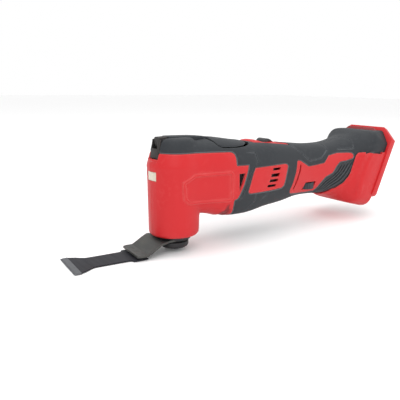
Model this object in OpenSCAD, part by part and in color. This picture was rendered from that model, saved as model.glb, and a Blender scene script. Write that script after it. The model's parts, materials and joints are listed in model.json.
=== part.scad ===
// Cordless oscillating multi tool with a quick-release blade clamp.
// Frame: origin on the output spindle's axis at the blade seat, +Z up along
// the spindle, +X rearwards along the barrel, +Y to the tool's right side.

/* [Head] */
// Radius of the head at its bottom rim
head_r = 23.6; // [22:0.1:29]
// Growth of the head's radius from the rim up to the shoulder ridge
head_flare = 2.6; // [0:0.1:4]
// Height of the head from its rim to the top of the lever
head_h = 91; // [84:1:112]
// Height of the shoulder ridge above the rim
ridge_h = 65; // [60:1:70]
// Gap from the head's rim down to the blade seat
seat_drop = 5; // [4.5:0.5:8]

/* [Housing] */
// Length from the spindle axis to the rear end of the motor barrel
barrel_len = 130; // [108:1:160]
// Length of the grip between the barrel and the battery foot
grip_len = 76; // [62:1:95]
// Half width of the motor barrel
barrel_hw = 30.5; // [29:0.5:37]
// Half width of the grip
grip_hw = 23.5; // [21.5:0.5:29]
// Thickness of the rigid housing wall
wall = 2.6; // [2:0.1:3.2]
// Thickness of the soft grip layer
rubber_t = 2; // [1.5:0.1:2.4]

/* [Battery foot] */
// Width of the battery foot
foot_w = 80; // [76:1:96]
// Length of the foot's rear face along its slope
foot_len = 85; // [80:1:102]
// Lean of the foot's rear face from the vertical, in degrees
foot_tilt = 23.7; // [15:0.1:28]
// Thickness of the rim round the battery bay
rim_t = 5; // [4:0.5:7]
// Depth of the battery bay
bay_depth = 17; // [14:1:19]

/* [Drive] */
// Height of the motor axis above the head's rim
axis_h = 40; // [38:0.5:43]
// Radius of the motor can
motor_r = 19; // [15.5:0.5:20]
// Radius of the motor shaft
shaft_r = 2.5; // [2:0.1:3]
// Radius of the output spindle at its lower bearing
spindle_r = 7.5; // [6.3:0.1:9]
// Offset of the eccentric from the motor axis
throw = 0.68; // [0.5:0.02:0.8]
// Distance from the spindle axis to the middle of the eccentric bearing
fork_reach = 22; // [21:0.5:24]
// Width of the eccentric bearing
ecc_bearing_w = 6; // [5:0.5:7]

/* [Blade clamp] */
// Radius of the output flange that drives the blade
flange_r = 16; // [14:0.5:18]
// Radius of the clamping rod
rod_r = 3.95; // [3.5:0.05:4.7]
// Travel of the clamping rod
clamp_travel = 3; // [2.5:0.1:3.2]
// Width of the release lever's stem
stem_w = 13; // [11:0.5:15]
// Half width of the release lever's paddle
paddle_hw = 19; // [16:0.5:22]
// Radius of the lever's hinge pin
lever_pin_r = 2; // [1.7:0.1:2.4]

/* [Blade] */
// Reach of the blade from the spindle axis to its cutting edge
blade_len = 103; // [86:1:124]
// Width of the cutting edge
edge_w = 42.6; // [36:0.2:51]
// Width of the blade's neck
neck_w = 25; // [21:0.5:30]
// Width of the mounting bracket
bracket_w = 36; // [32:0.5:40]
// Turn of the mounted blade about the spindle, in degrees
blade_turn = -5.2; // [-10:0.1:10]

/* [Controls] */
// Length of the switch knob
knob_len = 16; // [13:0.5:18]
// Travel of the switch knob
switch_travel = 7; // [5:0.5:8]
// Radius of the speed dial
dial_r = 10.5; // [9:0.5:12]
// Thickness of the speed dial
dial_t = 7; // [5:0.5:8]

/* [Hidden] */
$fn = 48;
fit = 0.05;          // running clearance on a radius
gap = 0.4;           // clearance between parts that move past each other
seam = 0.15;         // clearance between parts that are laid together
rim_z = seat_drop;
axis_z = rim_z + axis_h;

red = [0.80, 0.10, 0.12];
soft_black = [0.17, 0.18, 0.20];
steel = [0.72, 0.73, 0.75];
dark_steel = [0.22, 0.22, 0.23];
brass = [0.78, 0.62, 0.28];

// ---- outer form ----------------------------------------------------------
// The body is lofted through slices. Each slice runs from a point on the
// underside to a point on the top, with a half width and a squareness.
barrel_x0 = 14;
grip_x = barrel_len + grip_len;
foot_x = grip_x + 53.3;           // lower rear edge of the foot
foot_z = rim_z + 8.7;
foot_hw = foot_w / 2;
bulge_hw = foot_hw - 2.6;
lean = tan(foot_tilt);

function along(t) = barrel_x0 + t * (barrel_len - barrel_x0);
function behind(t) = barrel_len + t * grip_len;
function slice(xb, hb, xt, ht, hw, n) = [xb, rim_z + hb, xt, rim_z + ht, hw, n];
// The last slice lies in the front face of the foot's rim
function rim_x(h) = foot_x + (rim_z + h - foot_z) * lean - rim_t / cos(foot_tilt);
function rim_slice(hb, ht, hw, n) = slice(rim_x(hb), hb, rim_x(ht), ht, hw, n);

body_line = [
    slice(barrel_x0, 18, barrel_x0, 85.5, head_r + 2, 3),
    slice(along(0.26), 12, along(0.26), 86, barrel_hw - 1, 3.4),
    slice(along(0.5), 11, along(0.5), 83.5, barrel_hw, 3.4),
    slice(along(0.72), 14, along(0.72), 80.5, barrel_hw - 0.5, 3.2),
    slice(along(0.95), 15.5, along(0.95), 78, barrel_hw - 2.5, 2.9),
    slice(behind(0.23), 18, behind(0.26), 73.5, grip_hw + 1.5, 2.7),
    slice(behind(0.5), 18, behind(0.56), 70, grip_hw, 2.6),
    slice(behind(0.78), 16.5, behind(0.86), 69.3, grip_hw + 0.5, 2.6),
    slice(grip_x + 3, 12, grip_x + 14, 73, grip_hw + 5, 2.8),
    slice(grip_x + 15, 7, grip_x + 36, 82, bulge_hw - 5, 3.4),
    slice(grip_x + 28, 2, grip_x + 28 + lean * 86, 88, bulge_hw - 1, 5),
    rim_slice(-0.5, 87.5, bulge_hw, 7)];

function corner(a, n) = sign(a) * pow(abs(a), 2 / n);
function oval(hw, hh, n, count) =
    [for (i = [0:count - 1]) let (t = 360 * i / count) [hw * corner(cos(t), n), hh * corner(sin(t), n)]];

slice_points = 28;
function slice_ring(s, inset) = let (
    up = [s[2] - s[0], 0, s[3] - s[1]],
    mid = [s[0] + s[2], 0, s[1] + s[3]] / 2,
    half = norm(up) / 2)
    [for (p = oval(s[4] - inset, half - inset, s[5], slice_points)) mid + [0, p[0], 0] + p[1] * up / (2 * half)];

// Hull between each slice and the next, on their shared points
module body_loft(inset) {
    for (i = [0:len(body_line) - 2]) hull() polyhedron(
        points = concat(slice_ring(body_line[i], inset), slice_ring(body_line[i + 1], inset)),
        faces = [[for (k = [0:slice_points - 1]) k], [for (k = [0:slice_points - 1]) slice_points + k]]);
}

// The head is turned about the spindle axis
head_top = rim_z + head_h - 3;
ridge_r = head_r + head_flare;
module head_form(inset) {
    rotate_extrude($fn = 64) polygon([
        [0, rim_z], [head_r - 1.2 - inset, rim_z], [head_r - inset, rim_z + 2],
        [ridge_r - inset, rim_z + ridge_h], [ridge_r - 1.4 - inset, rim_z + ridge_h + 3],
        [ridge_r - 4.8 - inset, rim_z + 77], [ridge_r - 8 - inset, head_top - inset],
        [0, head_top - inset]]);
}

module outer_form(inset = 0) {
    head_form(inset);
    body_loft(inset);
}

// Side view regions of the soft grip and of the rigid panels in it
module soft_outline() {
    panel_top = rim_z + 61.5;
    difference() {
        polygon([
            [-40, rim_z + 77.5], [46, rim_z + 77.5], [54, rim_z + 71], [56, rim_z + 62],
            [64, panel_top], [58, rim_z + 30], [62, rim_z + 28], [62, 0], [grip_x + 12, 0],
            [grip_x + 24, rim_z + 10], [grip_x + 37, rim_z + 35], [grip_x + 49, rim_z + 58],
            [grip_x + 90, rim_z + 58], [grip_x + 90, rim_z + 100], [-40, rim_z + 100]]);
        vent_panel_outline();
        grip_panel_outline();
    }
}

module vent_panel_outline() {
    back = barrel_len - 10;
    polygon([[77.5, rim_z + 59.3], [back - 5, rim_z + 59.6], [back, rim_z + 57.5], [back, rim_z + 45],
             [back - 7, rim_z + 34.5], [back - 12, rim_z + 33], [70, rim_z + 34]]);
}

module grip_panel_outline() {
    polygon([[behind(0.1), rim_z + 60], [behind(0.22), rim_z + 60], [behind(0.35), rim_z + 53.5],
             [behind(0.67), rim_z + 55.3], [behind(0.74), rim_z + 65.4], [grip_x + 24, rim_z + 61.2],
             [grip_x + 29, rim_z + 56.8], [grip_x + 2, rim_z + 53.1], [behind(0.89), rim_z + 40.3],
             [behind(0.65), rim_z + 35.3], [behind(0.49), rim_z + 25.4], [behind(0), rim_z + 24]]);
}

module through_side(w = 200) {
    translate([0, w / 2, 0]) rotate([90, 0, 0]) linear_extrude(w) children();
}

// Frame of the battery foot: +Z up its slope, +X out of its rear face
module at_foot() translate([foot_x, 0, foot_z]) rotate([0, foot_tilt, 0]) children();

bay_hw = foot_hw - 8.5;
tray_wall = 2;
tray_hw = bay_hw + tray_wall;
bay_top = foot_len - 6;
function foot_point(n, y, s) =
    [foot_x + n * cos(foot_tilt) + s * sin(foot_tilt), y, foot_z - n * sin(foot_tilt) + s * cos(foot_tilt)];

// Slab of the foot from n0 to n1 along the normal, on an outline of [slope, y] points
module foot_slab(n0, n1, points) {
    at_foot() translate([n0, 0, 0]) rotate([0, 90, 0]) rotate([0, 0, 180])
        linear_extrude(n1 - n0) polygon(points);
}

// Outline of the battery tray with its two top corners cut off
tray_corner = 17;
function tray_outline(hw, s0, s1) =
    [[s0, -hw], [s1 - tray_corner, -hw], [s1, -hw + tray_corner], [s1, hw - tray_corner], [s1 - tray_corner, hw],
     [s0, hw]];
module foot_tray_space(c) {
    foot_slab(-bay_depth - tray_wall - c, 10, tray_outline(tray_hw + c, -30, bay_top + c));
}

top_w = foot_hw - 16;
foot_outline = [[0, -foot_hw + 3], [4, -foot_hw], [foot_len - 14, -foot_hw], [foot_len, -top_w],
                [foot_len, top_w], [foot_len - 14, foot_hw], [4, foot_hw], [0, foot_hw - 3]];

// ---- cuts in the shells --------------------------------------------------
lever_px = -14;
lever_pz = rim_z + head_h - 6.5;
slot_hw = stem_w / 2 + 0.9;
slot_z = rim_z + 71;
lever_end = 84;
paddle_x0 = 27;
bezel_x0 = 88;
bezel_x1 = barrel_len + 16;
bezel_hw = 12;
led_z = rim_z + 56;
led_hw = 5;
led_hh = 5;
dial_x = behind(0.43);
dial_z = rim_z + 30.3;
dial_y = -(grip_hw - dial_r);

// Room for the lever, c larger all round, open upwards
module lever_space(c) {
    translate([-45, -slot_hw, slot_z]) cube([45 - 4, 2 * slot_hw, 60]);
    through_side(2 * slot_hw) offset(delta = c) stem_side(30);
    through_side(2 * (paddle_hw + c)) offset(delta = c) paddle_side(30);
}

// Side view of the lever's stem behind its pin
stem_x0 = lever_px + 5.2;
module stem_side(rise = 0) {
    top = rim_z + head_h;
    polygon([[stem_x0, top - 0.1 + rise], [stem_x0, lever_pz - 2], [paddle_x0, rim_z + 83.5],
             [paddle_x0 + 14, rim_z + 81.8], [lever_end - 2, rim_z + 79.6], [lever_end, rim_z + 81.4 + rise],
             [66, rim_z + 85.2 + rise], [49, rim_z + 87.8 + rise], [35, rim_z + 89.3 + rise],
             [1, top - 0.3 + rise]]);
}

// Side view of the paddle, carried up by rise so that it also cuts its way out
module paddle_side(rise = 0) {
    polygon([[paddle_x0, rim_z + 88.6 + rise], [paddle_x0, rim_z + 88], [paddle_x0 + 12, rim_z + 80],
             [paddle_x0 + 20, rim_z + 78.6], [paddle_x0 + 44, rim_z + 78.8], [lever_end, rim_z + 79.4],
             [lever_end, rim_z + 81.4 + rise]]);
}

vent_count = 4;
module vent_cuts() {
    for (i = [0:vent_count - 1])
        translate([barrel_len - 24 - 2.3 * i, -100, rim_z + 54.2 - 6 * i]) cube([10.5, 200, 3]);
    through_side() polygon([[56, rim_z + 53.5], [62.6, rim_z + 54.2], [56.6, rim_z + 37.5]]);
}

// Screw places: x, height above the rim
screw_spots = [[52, 68.5], [barrel_len - 2.5, 24.5], [behind(0.17), 64.5], [behind(0.72), 61.5],
               [behind(0.93), 25]];
screw_r = 1.5;
boss_r = 4;
head_seat = 12;     // depth of a screw's head below the split plane's far side
module along_y(x, h) translate([x, 0, rim_z + h]) rotate([-90, 0, 0]) children();

module shell_cuts() {
    lever_space(0.9);
    translate([bezel_x0 - seam, -bezel_hw - seam, rim_z + 68])
        cube([bezel_x1 - bezel_x0 + 2 * seam, 2 * (bezel_hw + seam), 40]);
    vent_cuts();
    translate([-50, -led_hw - seam, led_z - led_hh - seam])
        cube([40, 2 * (led_hw + seam), 2 * (led_hh + seam)]);
    translate([dial_x, dial_y, dial_z]) cylinder(h = dial_t + 1.6, r = dial_r + 0.8, center = true);
    translate([dial_x - 9, -60, dial_z - 4.6]) cube([18, 60 + dial_y, 9.2]);
    foot_tray_space(seam);
    translate([0, 0, rim_z - 1]) cylinder(h = 3, r = nose_r + seam);
}

module soft_layer() {
    difference() {
        intersection() {
            outer_form();
            through_side() soft_outline();
        }
        outer_form(rubber_t);
        shell_cuts();
        for (s = screw_spots) along_y(s[0], s[1]) cylinder(h = 60, r = 3.6);
    }
}

module rigid_shell() {
    difference() {
        union() {
            difference() {
                outer_form();
                intersection() {
                    difference() {
                        outer_form(-1);
                        outer_form(rubber_t);
                    }
                    through_side() soft_outline();
                }
                outer_form(rubber_t + wall);
            }
            intersection() {
                outer_form(rubber_t + 0.5);
                for (s = screw_spots) translate([0, -40, 0]) along_y(s[0], s[1]) cylinder(h = 80, r = boss_r);
            }
        }
        shell_cuts();
        for (s = screw_spots) {
            translate([0, -head_seat, 0]) along_y(s[0], s[1]) cylinder(h = 80, r = screw_r + 0.1);
            translate([0, head_seat, 0]) along_y(s[0], s[1]) cylinder(h = 60, r = 3.4);
        }
    }
}

module half(side) {
    intersection() {
        children();
        translate([-60, side > 0 ? 0 : -100, -20]) cube([460, 100, 160]);
    }
}

module left_housing() color(red) half(-1) rigid_shell();
module right_housing() color(red) half(1) rigid_shell();
module left_overmold() color(soft_black) half(-1) soft_layer();
module right_overmold() color(soft_black) half(1) soft_layer();

// ---- battery foot --------------------------------------------------------
rail_w = 3.4;
rail_t = 3;
rail_drop = 4;
block_w = 34;
block_h = 30;
block_s = 26;
module battery_frame() color(red) {
    difference() {
        union() {
            foot_slab(-rim_t, 0, foot_outline);
            foot_slab(-bay_depth - tray_wall, -rim_t, tray_outline(tray_hw, 0, bay_top));
        }
        foot_slab(-bay_depth, 10, tray_outline(bay_hw, -10, bay_top - tray_wall));
        at_foot() translate([-bay_depth - 10, -block_w / 2 - seam, block_s - seam])
            cube([20, block_w + 2 * seam, block_h + 2 * seam]);
    }
    for (y = [-bay_hw, bay_hw - rail_w]) at_foot() translate([-rail_drop - rail_t, y, 6])
        cube([rail_t, rail_w, bay_top - tray_corner - 10]);
}

module terminal_block() color([0.12, 0.12, 0.13]) at_foot() {
    translate([-bay_depth - 4, -block_w / 2, block_s]) cube([14, block_w, block_h]);
}

blade_pitch = 8;
module terminal_blades() color(brass) at_foot() {
    for (i = [-1.5:1:1.5])
        translate([-bay_depth + 2, i * blade_pitch - 0.5, block_s - 14]) cube([6, 1, 14]);
}

// ---- head: gear case, spindle and clamp ----------------------------------
case_r = head_r - wall - rubber_t - gap;
case_z0 = rim_z + 2;
case_z1 = rim_z + 64;
case_wall = 3;
lower_brg_or = 14;
lower_brg_w = 9;
lower_brg_z = rim_z + 5.5;
upper_r = spindle_r - 2.5;
upper_brg_or = 9.5;
upper_brg_w = 7;
upper_brg_z = case_z1 - upper_brg_w - 1;
neck_r = case_r - 0.6;
neck_x1 = 50;
neck_wall = 2.7;
front_brg_x = 37;
front_brg_or = 8;
front_brg_w = 6;
nose_r = head_r - 3.8;
seal_t = 3;

module nose_ring() color([0.1, 0.1, 0.11]) translate([0, 0, rim_z - 0.8]) difference() {
    cylinder(h = 2.6, r = nose_r);
    translate([0, 0, -1]) cylinder(h = 5, r = spindle_r + 1.5);
}

module gear_case() color(steel) difference() {
    union() {
        translate([0, 0, case_z0]) cylinder(h = case_z1 - case_z0, r = case_r);
        along_x(barrel_x0 + gap) cylinder(h = neck_x1 - barrel_x0 - gap, r = neck_r);
    }
    translate([0, 0, lower_brg_z + lower_brg_w + 1])
        cylinder(h = upper_brg_z - 2 - (lower_brg_z + lower_brg_w + 1), r = case_r - case_wall);
    translate([0, 0, case_z0 - 1]) cylinder(h = lower_brg_z + lower_brg_w - case_z0 + 1, r = lower_brg_or);
    translate([0, 0, case_z0 - 1]) cylinder(h = 60, r = lower_brg_or - 2.5);
    translate([0, 0, upper_brg_z]) cylinder(h = 20, r = upper_brg_or);
    translate([0, 0, upper_brg_z - 10]) cylinder(h = 20, r = upper_brg_or - 2);
    along_x(0) cylinder(h = front_brg_x - 2, r = neck_r - neck_wall);
    along_x(0) cylinder(h = 60, r = front_brg_or - 2);
    along_x(front_brg_x) cylinder(h = 60, r = front_brg_or);
    along_x(front_brg_x + front_brg_w + 1) cylinder(h = 60, r = neck_r - neck_wall);
    bracket_bolts(1.2, case_z1 - 9, case_z1 + 1);
}

// Bearing with two rings and a row of balls, on an upright axis
module bearing(bore, outer, w, balls) {
    t = (outer - bore) / 4;
    mid = (outer + bore) / 2;
    ball_r = (outer - bore) / 2 - t + 0.6;
    difference() {
        cylinder(h = w, r = outer);
        translate([0, 0, -1]) cylinder(h = w + 2, r = outer - t);
        translate([0, 0, w / 2]) rotate_extrude() translate([mid, 0]) circle(r = ball_r);
    }
    difference() {
        cylinder(h = w, r = bore + t);
        translate([0, 0, -1]) cylinder(h = w + 2, r = bore);
        translate([0, 0, w / 2]) rotate_extrude() translate([mid, 0]) circle(r = ball_r);
    }
    for (i = [0:balls - 1]) rotate([0, 0, 360 * i / balls]) translate([mid, 0, w / 2]) sphere(r = ball_r - 0.05);
}

module lower_bearing() color(steel) translate([0, 0, lower_brg_z])
    bearing(spindle_r + fit, lower_brg_or, lower_brg_w, 10);
module upper_bearing() color(steel) translate([0, 0, upper_brg_z])
    bearing(upper_r + fit, upper_brg_or, upper_brg_w, 9);

module spindle_seal() color([0.1, 0.1, 0.1]) translate([0, 0, lower_brg_z - seal_t]) difference() {
    cylinder(h = seal_t, r = lower_brg_or);
    translate([0, 0, -1]) cylinder(h = seal_t + 2, r = spindle_r + fit);
}

flange_t = 4;
spindle_z0 = flange_t;
fork_hub_h = 12;
shoulder_z = axis_z + fork_hub_h / 2;
spindle_z1 = case_z1 + 0.5;
module output_spindle() color(steel) difference() {
    union() {
        translate([0, 0, spindle_z0]) cylinder(h = shoulder_z - spindle_z0, r = spindle_r);
        translate([0, 0, shoulder_z]) cylinder(h = spindle_z1 - shoulder_z, r = upper_r);
    }
    translate([0, 0, -1]) cylinder(h = spindle_z1 + 2, r = rod_r + fit);
}

pin_pitch_r = 10.2;
pin_r = 1.25;
pin_count = 12;
hub_t = 2;          // thickness of the blade bracket
module drive_flange() color(dark_steel) difference() {
    cylinder(h = flange_t, r = flange_r);
    translate([0, 0, -1]) cylinder(h = flange_t + 2, r = rod_r + fit);
    for (i = [0:pin_count - 1]) rotate([0, 0, 360 * (i + 0.5) / pin_count]) translate([pin_pitch_r, 0, -1])
        cylinder(h = flange_t, r = pin_r);
}

module drive_pins() color(steel) {
    for (i = [0:pin_count - 1]) rotate([0, 0, 360 * (i + 0.5) / pin_count])
        translate([pin_pitch_r, 0, -hub_t - 1]) cylinder(h = hub_t + flange_t, r = pin_r);
}

fork_half_gap = 6.5 + 2 * throw + 0.35;
fork_arm_w = 3.6;
fork_arm_h = 8;
module oscillating_fork() color(steel) difference() {
    union() {
        translate([0, 0, axis_z - fork_hub_h / 2]) cylinder(h = fork_hub_h, r = spindle_r + 4);
        for (side = [-1, 1])
            translate([2, side > 0 ? fork_half_gap : -fork_half_gap - fork_arm_w, axis_z - fork_arm_h / 2])
                cube([fork_reach + ecc_bearing_w / 2 - 2, fork_arm_w, fork_arm_h]);
    }
    translate([0, 0, axis_z - 20]) cylinder(h = 40, r = spindle_r);
}

module retaining_ring() color(dark_steel) translate([0, 0, axis_z + fork_hub_h / 2]) difference() {
    cylinder(h = 1.2, r = upper_r + 3);
    translate([0, 0, -1]) cylinder(h = 4, r = upper_r);
}

// Clamping rod, its cap, its lower flange and its disc springs
knuckle_r = 5;
cap_top = lever_pz - knuckle_r - 0.2;
cap_bar_h = 4;
cap_disc_h = 2.7;
cap_r = 8.5;
cap_z0 = cap_top - cap_bar_h - cap_disc_h;
spring_z0 = spindle_z1 + 0.3;
module clamp_rod() color(steel) translate([0, 0, -hub_t - 5]) cylinder(h = cap_z0 + hub_t + 5, r = rod_r);
module clamp_cap() color(dark_steel) translate([0, 0, cap_z0]) {
    cylinder(h = cap_disc_h, r = cap_r);
    translate([lever_px - 4, -3.6, 0]) cube([12 - lever_px, 7.2, cap_bar_h + cap_disc_h]);
}

clamp_flange_r = 13.8;
clamp_flange_t = 6.5;
module clamp_flange() color([0.12, 0.12, 0.13]) difference() {
    translate([0, 0, -hub_t - clamp_flange_t]) {
        translate([0, 0, 1.5]) cylinder(h = clamp_flange_t - 1.5, r = clamp_flange_r);
        cylinder(h = 1.5, r1 = clamp_flange_r - 2, r2 = clamp_flange_r);
    }
    translate([0, 0, -hub_t - 5]) cylinder(h = 10, r = rod_r);
    translate([0, 0, -hub_t - 2]) difference() {
        cylinder(h = 4, r = pin_pitch_r + pin_r + 0.5);
        translate([0, 0, -1]) cylinder(h = 6, r = pin_pitch_r - pin_r - 0.5);
    }
    translate([0, 0, -hub_t - clamp_flange_t - 1]) cylinder(h = 3, r = 4, $fn = 6);
}

spring_coils = 4;
module clamp_spring() color(steel) {
    span = cap_z0 - 0.1 - spring_z0;
    pitch = span / spring_coils;
    t = 0.9;
    translate([0, 0, spring_z0]) for (i = [0:spring_coils - 1]) translate([0, 0, i * pitch])
        rotate_extrude() polygon(i % 2 == 0
            ? [[rod_r + 0.5, pitch - t], [7.6, 0], [7.6, t], [rod_r + 0.5, pitch]]
            : [[rod_r + 0.5, 0], [7.6, pitch - t], [7.6, pitch], [rod_r + 0.5, t]]);
}

// Bracket that carries the lever's hinge pin
ear_t = 2.2;
ear_y = 4.6;
ear_r = 4.2;
plate_t = 2.4;
bolt_angles = [60, 130, 230, 300];
module at_pin(side) translate([lever_px, side, lever_pz]) rotate([-90, 0, 0]) children();
module bracket_bolts(r, z0, z1) {
    for (a = bolt_angles) rotate([0, 0, a]) translate([14.5, 0, z0]) cylinder(h = z1 - z0, r = r);
}
module lever_bracket() color(steel) difference() {
    union() {
        translate([0, 0, case_z1]) cylinder(h = plate_t, r = case_r);
        for (side = [ear_y, -ear_y - ear_t]) {
            translate([lever_px - 3.2, side, case_z1]) cube([ear_r + 3.2, ear_t, lever_pz - case_z1]);
            at_pin(side) cylinder(h = ear_t, r = ear_r);
        }
    }
    translate([0, 0, case_z1 - 1]) cylinder(h = 8, r = cap_r + 0.6);
    at_pin(-20) cylinder(h = 40, r = lever_pin_r);
    bracket_bolts(1.5, case_z1 - 1, case_z1 + 10);
}
module bracket_screws() color(dark_steel) {
    bracket_bolts(1.2, case_z1 - 7, case_z1 + plate_t);
    bracket_bolts(2.2, case_z1 + plate_t, case_z1 + plate_t + 1.6);
}
module lever_pin() color(steel) at_pin(-ear_y - ear_t) cylinder(h = 2 * (ear_y + ear_t), r = lever_pin_r);

// Fixed strip that closes the slot below the lever's nose
module front_guard() color([0.12, 0.12, 0.13]) intersection() {
    translate([-ridge_r, -slot_hw + gap, slot_z + 0.1]) cube([8, 2 * (slot_hw - gap), 4]);
    translate([0, 0, slot_z]) cylinder(h = 6, r1 = ridge_r - 3.2, r2 = ridge_r - 5.8, $fn = 96);
}

// Release lever: nose and knuckle at the pin, stem along the top, paddle behind
knuckle_hw = ear_y - 0.2;
module release_lever() color(soft_black) difference() {
    union() {
        through_side(2 * knuckle_hw) polygon([
            [lever_px - 4.4, rim_z + head_h], [lever_px - 5.6, rim_z + 88.5], [lever_px - 5.1, lever_pz],
            [lever_px, lever_pz - 3], [stem_x0 + 1, lever_pz - 1.5], [stem_x0 + 1, rim_z + head_h - 0.1]]);
        at_pin(-knuckle_hw) cylinder(h = 2 * knuckle_hw, r = knuckle_r);
        through_side(stem_w) stem_side();
        intersection() {
            through_side(2 * paddle_hw) paddle_side();
            paddle_plan();
        }
    }
    at_pin(-20) cylinder(h = 40, r = lever_pin_r + fit);
}

module paddle_plan() {
    tip_hw = paddle_hw - 5;
    linear_extrude(200) polygon([
        [paddle_x0 - 4, -stem_w / 2], [paddle_x0 + 14, -paddle_hw], [lever_end - 14, -paddle_hw],
        [lever_end, -tip_hw], [lever_end, tip_hw], [lever_end - 14, paddle_hw],
        [paddle_x0 + 14, paddle_hw], [paddle_x0 - 4, stem_w / 2]]);
}

case_screw_r = 1.2;
module gear_case_screws() color(dark_steel) along_x(neck_x1) for (a = [45, 135, 225, 315])
    rotate([0, 0, a]) translate([neck_r - neck_wall / 2, 0, 0]) cylinder(h = 1.2, r = case_screw_r);

// ---- motor ---------------------------------------------------------------
shaft_x0 = fork_reach - ecc_bearing_w / 2 - 1;
fan_x = neck_x1 + 1.5;
fan_w = 8;
can_x0 = fan_x + fan_w + 1.2;
can_x1 = barrel_len - 13;
can_wall = 1.8;
magnet_t = 2.2;
core_r = motor_r - can_wall - magnet_t - 0.5;
bell_t = 6;
rear_brg_or = 6.5;
rear_brg_w = 4;
comm_r = 5.5;
comm_len = 10;
core_x0 = can_x0 + 9;
core_x1 = can_x1 - comm_len - 7;
shaft_x1 = can_x1 + bell_t - 1.5;

module along_x(x) translate([x, 0, axis_z]) rotate([0, 90, 0]) children();

module motor_shaft() color(steel) along_x(shaft_x0) cylinder(h = shaft_x1 - shaft_x0, r = shaft_r);

ecc_or = 3.9;
module eccentric() color(steel) difference() {
    translate([0, 0, throw]) along_x(shaft_x0 + 0.5) cylinder(h = ecc_bearing_w + 1, r = ecc_or);
    along_x(shaft_x0 - 1) cylinder(h = 20, r = shaft_r);
}

module eccentric_bearing() color(steel) translate([0, 0, throw]) along_x(shaft_x0 + 1)
    bearing(ecc_or, 6.5, ecc_bearing_w, 8);

module counterweight() color(brass) difference() {
    along_x(shaft_x0 + ecc_bearing_w + 2) intersection() {
        cylinder(h = 5, r = 9);
        translate([-3, -10, 0]) cube([20, 20, 5]);
    }
    along_x(0) cylinder(h = 60, r = shaft_r);
}

module front_motor_bearing() color(steel) along_x(front_brg_x)
    bearing(shaft_r + fit, front_brg_or, front_brg_w, 7);
module rear_motor_bearing() color(steel) along_x(can_x1 + 0.8)
    bearing(shaft_r + fit, rear_brg_or, rear_brg_w, 7);

fan_r = motor_r - 2.5;
fan_blades = 11;
module cooling_fan() color([0.15, 0.15, 0.16]) along_x(fan_x) {
    difference() {
        union() {
            cylinder(h = 1.5, r = fan_r);
            cylinder(h = fan_w, r = shaft_r + 3);
            for (i = [0:fan_blades - 1]) rotate([0, 0, 360 * i / fan_blades])
                translate([shaft_r + 2, -0.6, 0]) cube([fan_r - shaft_r - 2.4, 1.2, fan_w]);
        }
        translate([0, 0, -1]) cylinder(h = fan_w + 2, r = shaft_r);
    }
}

module motor_can() color([0.5, 0.5, 0.52]) difference() {
    along_x(can_x0) cylinder(h = can_x1 - can_x0, r = motor_r);
    along_x(can_x0 + 2) cylinder(h = 200, r = motor_r - can_wall);
    along_x(can_x0 - 1) cylinder(h = 200, r = 12);
}

module motor_magnets() color([0.3, 0.3, 0.32]) difference() {
    along_x(core_x0 - 2) cylinder(h = core_x1 - core_x0 + 4, r = motor_r - can_wall);
    along_x(core_x0 - 3) cylinder(h = 200, r = motor_r - can_wall - magnet_t);
    translate([0, -100, axis_z - 5]) cube([300, 200, 10]);
}

slot_count = 7;
module armature_core() color([0.55, 0.56, 0.58]) difference() {
    along_x(core_x0) cylinder(h = core_x1 - core_x0, r = core_r);
    along_x(core_x0 - 1) for (i = [0:slot_count - 1]) rotate([0, 0, 360 * i / slot_count])
        translate([core_r - 4.5, 0, 0]) {
            cylinder(h = 200, r = 2.6);
            translate([0, -0.7, 0]) cube([10, 1.4, 200]);
        }
    along_x(0) cylinder(h = 400, r = shaft_r);
}

module armature_windings() color([0.72, 0.38, 0.16]) {
    for (end = [0, 1]) along_x(end == 0 ? core_x0 - 4.5 : core_x1 + 0.1) difference() {
        cylinder(h = 4.4, r = core_r - 1.6);
        translate([0, 0, -1]) cylinder(h = 8, r = comm_r + 0.6);
    }
    along_x(core_x0 + 0.05) for (i = [0:slot_count - 1]) rotate([0, 0, 360 * i / slot_count])
        translate([core_r - 4.5, 0, 0]) cylinder(h = core_x1 - core_x0 - 0.1, r = 2.4);
}

module commutator() color([0.72, 0.45, 0.2]) difference() {
    along_x(core_x1 + 5) cylinder(h = comm_len, r = comm_r);
    along_x(0) cylinder(h = 400, r = shaft_r);
    along_x(core_x1 + 4) for (i = [0:13]) rotate([0, 0, 360 * i / 14]) translate([comm_r - 0.8, -0.2, 0])
        cube([2, 0.4, comm_len + 2]);
}

module motor_end_bell() color([0.13, 0.13, 0.14]) difference() {
    along_x(can_x1) cylinder(h = bell_t, r = motor_r);
    along_x(can_x1 - 1) cylinder(h = 1.8 + rear_brg_w, r = rear_brg_or);
    along_x(can_x1 - 1) cylinder(h = 20, r = shaft_r + 0.6);
}

brush_x = core_x1 + 10;
brush_w = 5;
brush_room = motor_r - can_wall - comm_r;
brush_end = 0.555 * brush_room;
spring_start = 0.598 * brush_room;
spring_pitch = 0.092 * brush_room;
module brush_set(z0, z1, w) for (side = [-1, 1]) {
    translate([brush_x - w / 2, -w / 2, side > 0 ? axis_z + z0 : axis_z - z1]) cube([w, w, z1 - z0]);
}
module carbon_brushes() color([0.16, 0.16, 0.17]) brush_set(comm_r + 0.1, comm_r + brush_end, brush_w);
module brush_springs() color(steel) for (side = [0, 180]) translate([brush_x, 0, axis_z]) rotate([side, 0, 0])
    for (i = [0:3]) translate([0, 0, comm_r + spring_start + i * spring_pitch])
        rotate_extrude() translate([1.6, 0]) circle(r = 0.35, $fn = 16);
module brush_holders() color(brass) difference() {
    brush_set(comm_r + 1.2, motor_r - can_wall - 0.5, brush_w + 1.4);
    brush_set(comm_r, comm_r + brush_room - 0.7, brush_w + 0.1);
}

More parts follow.
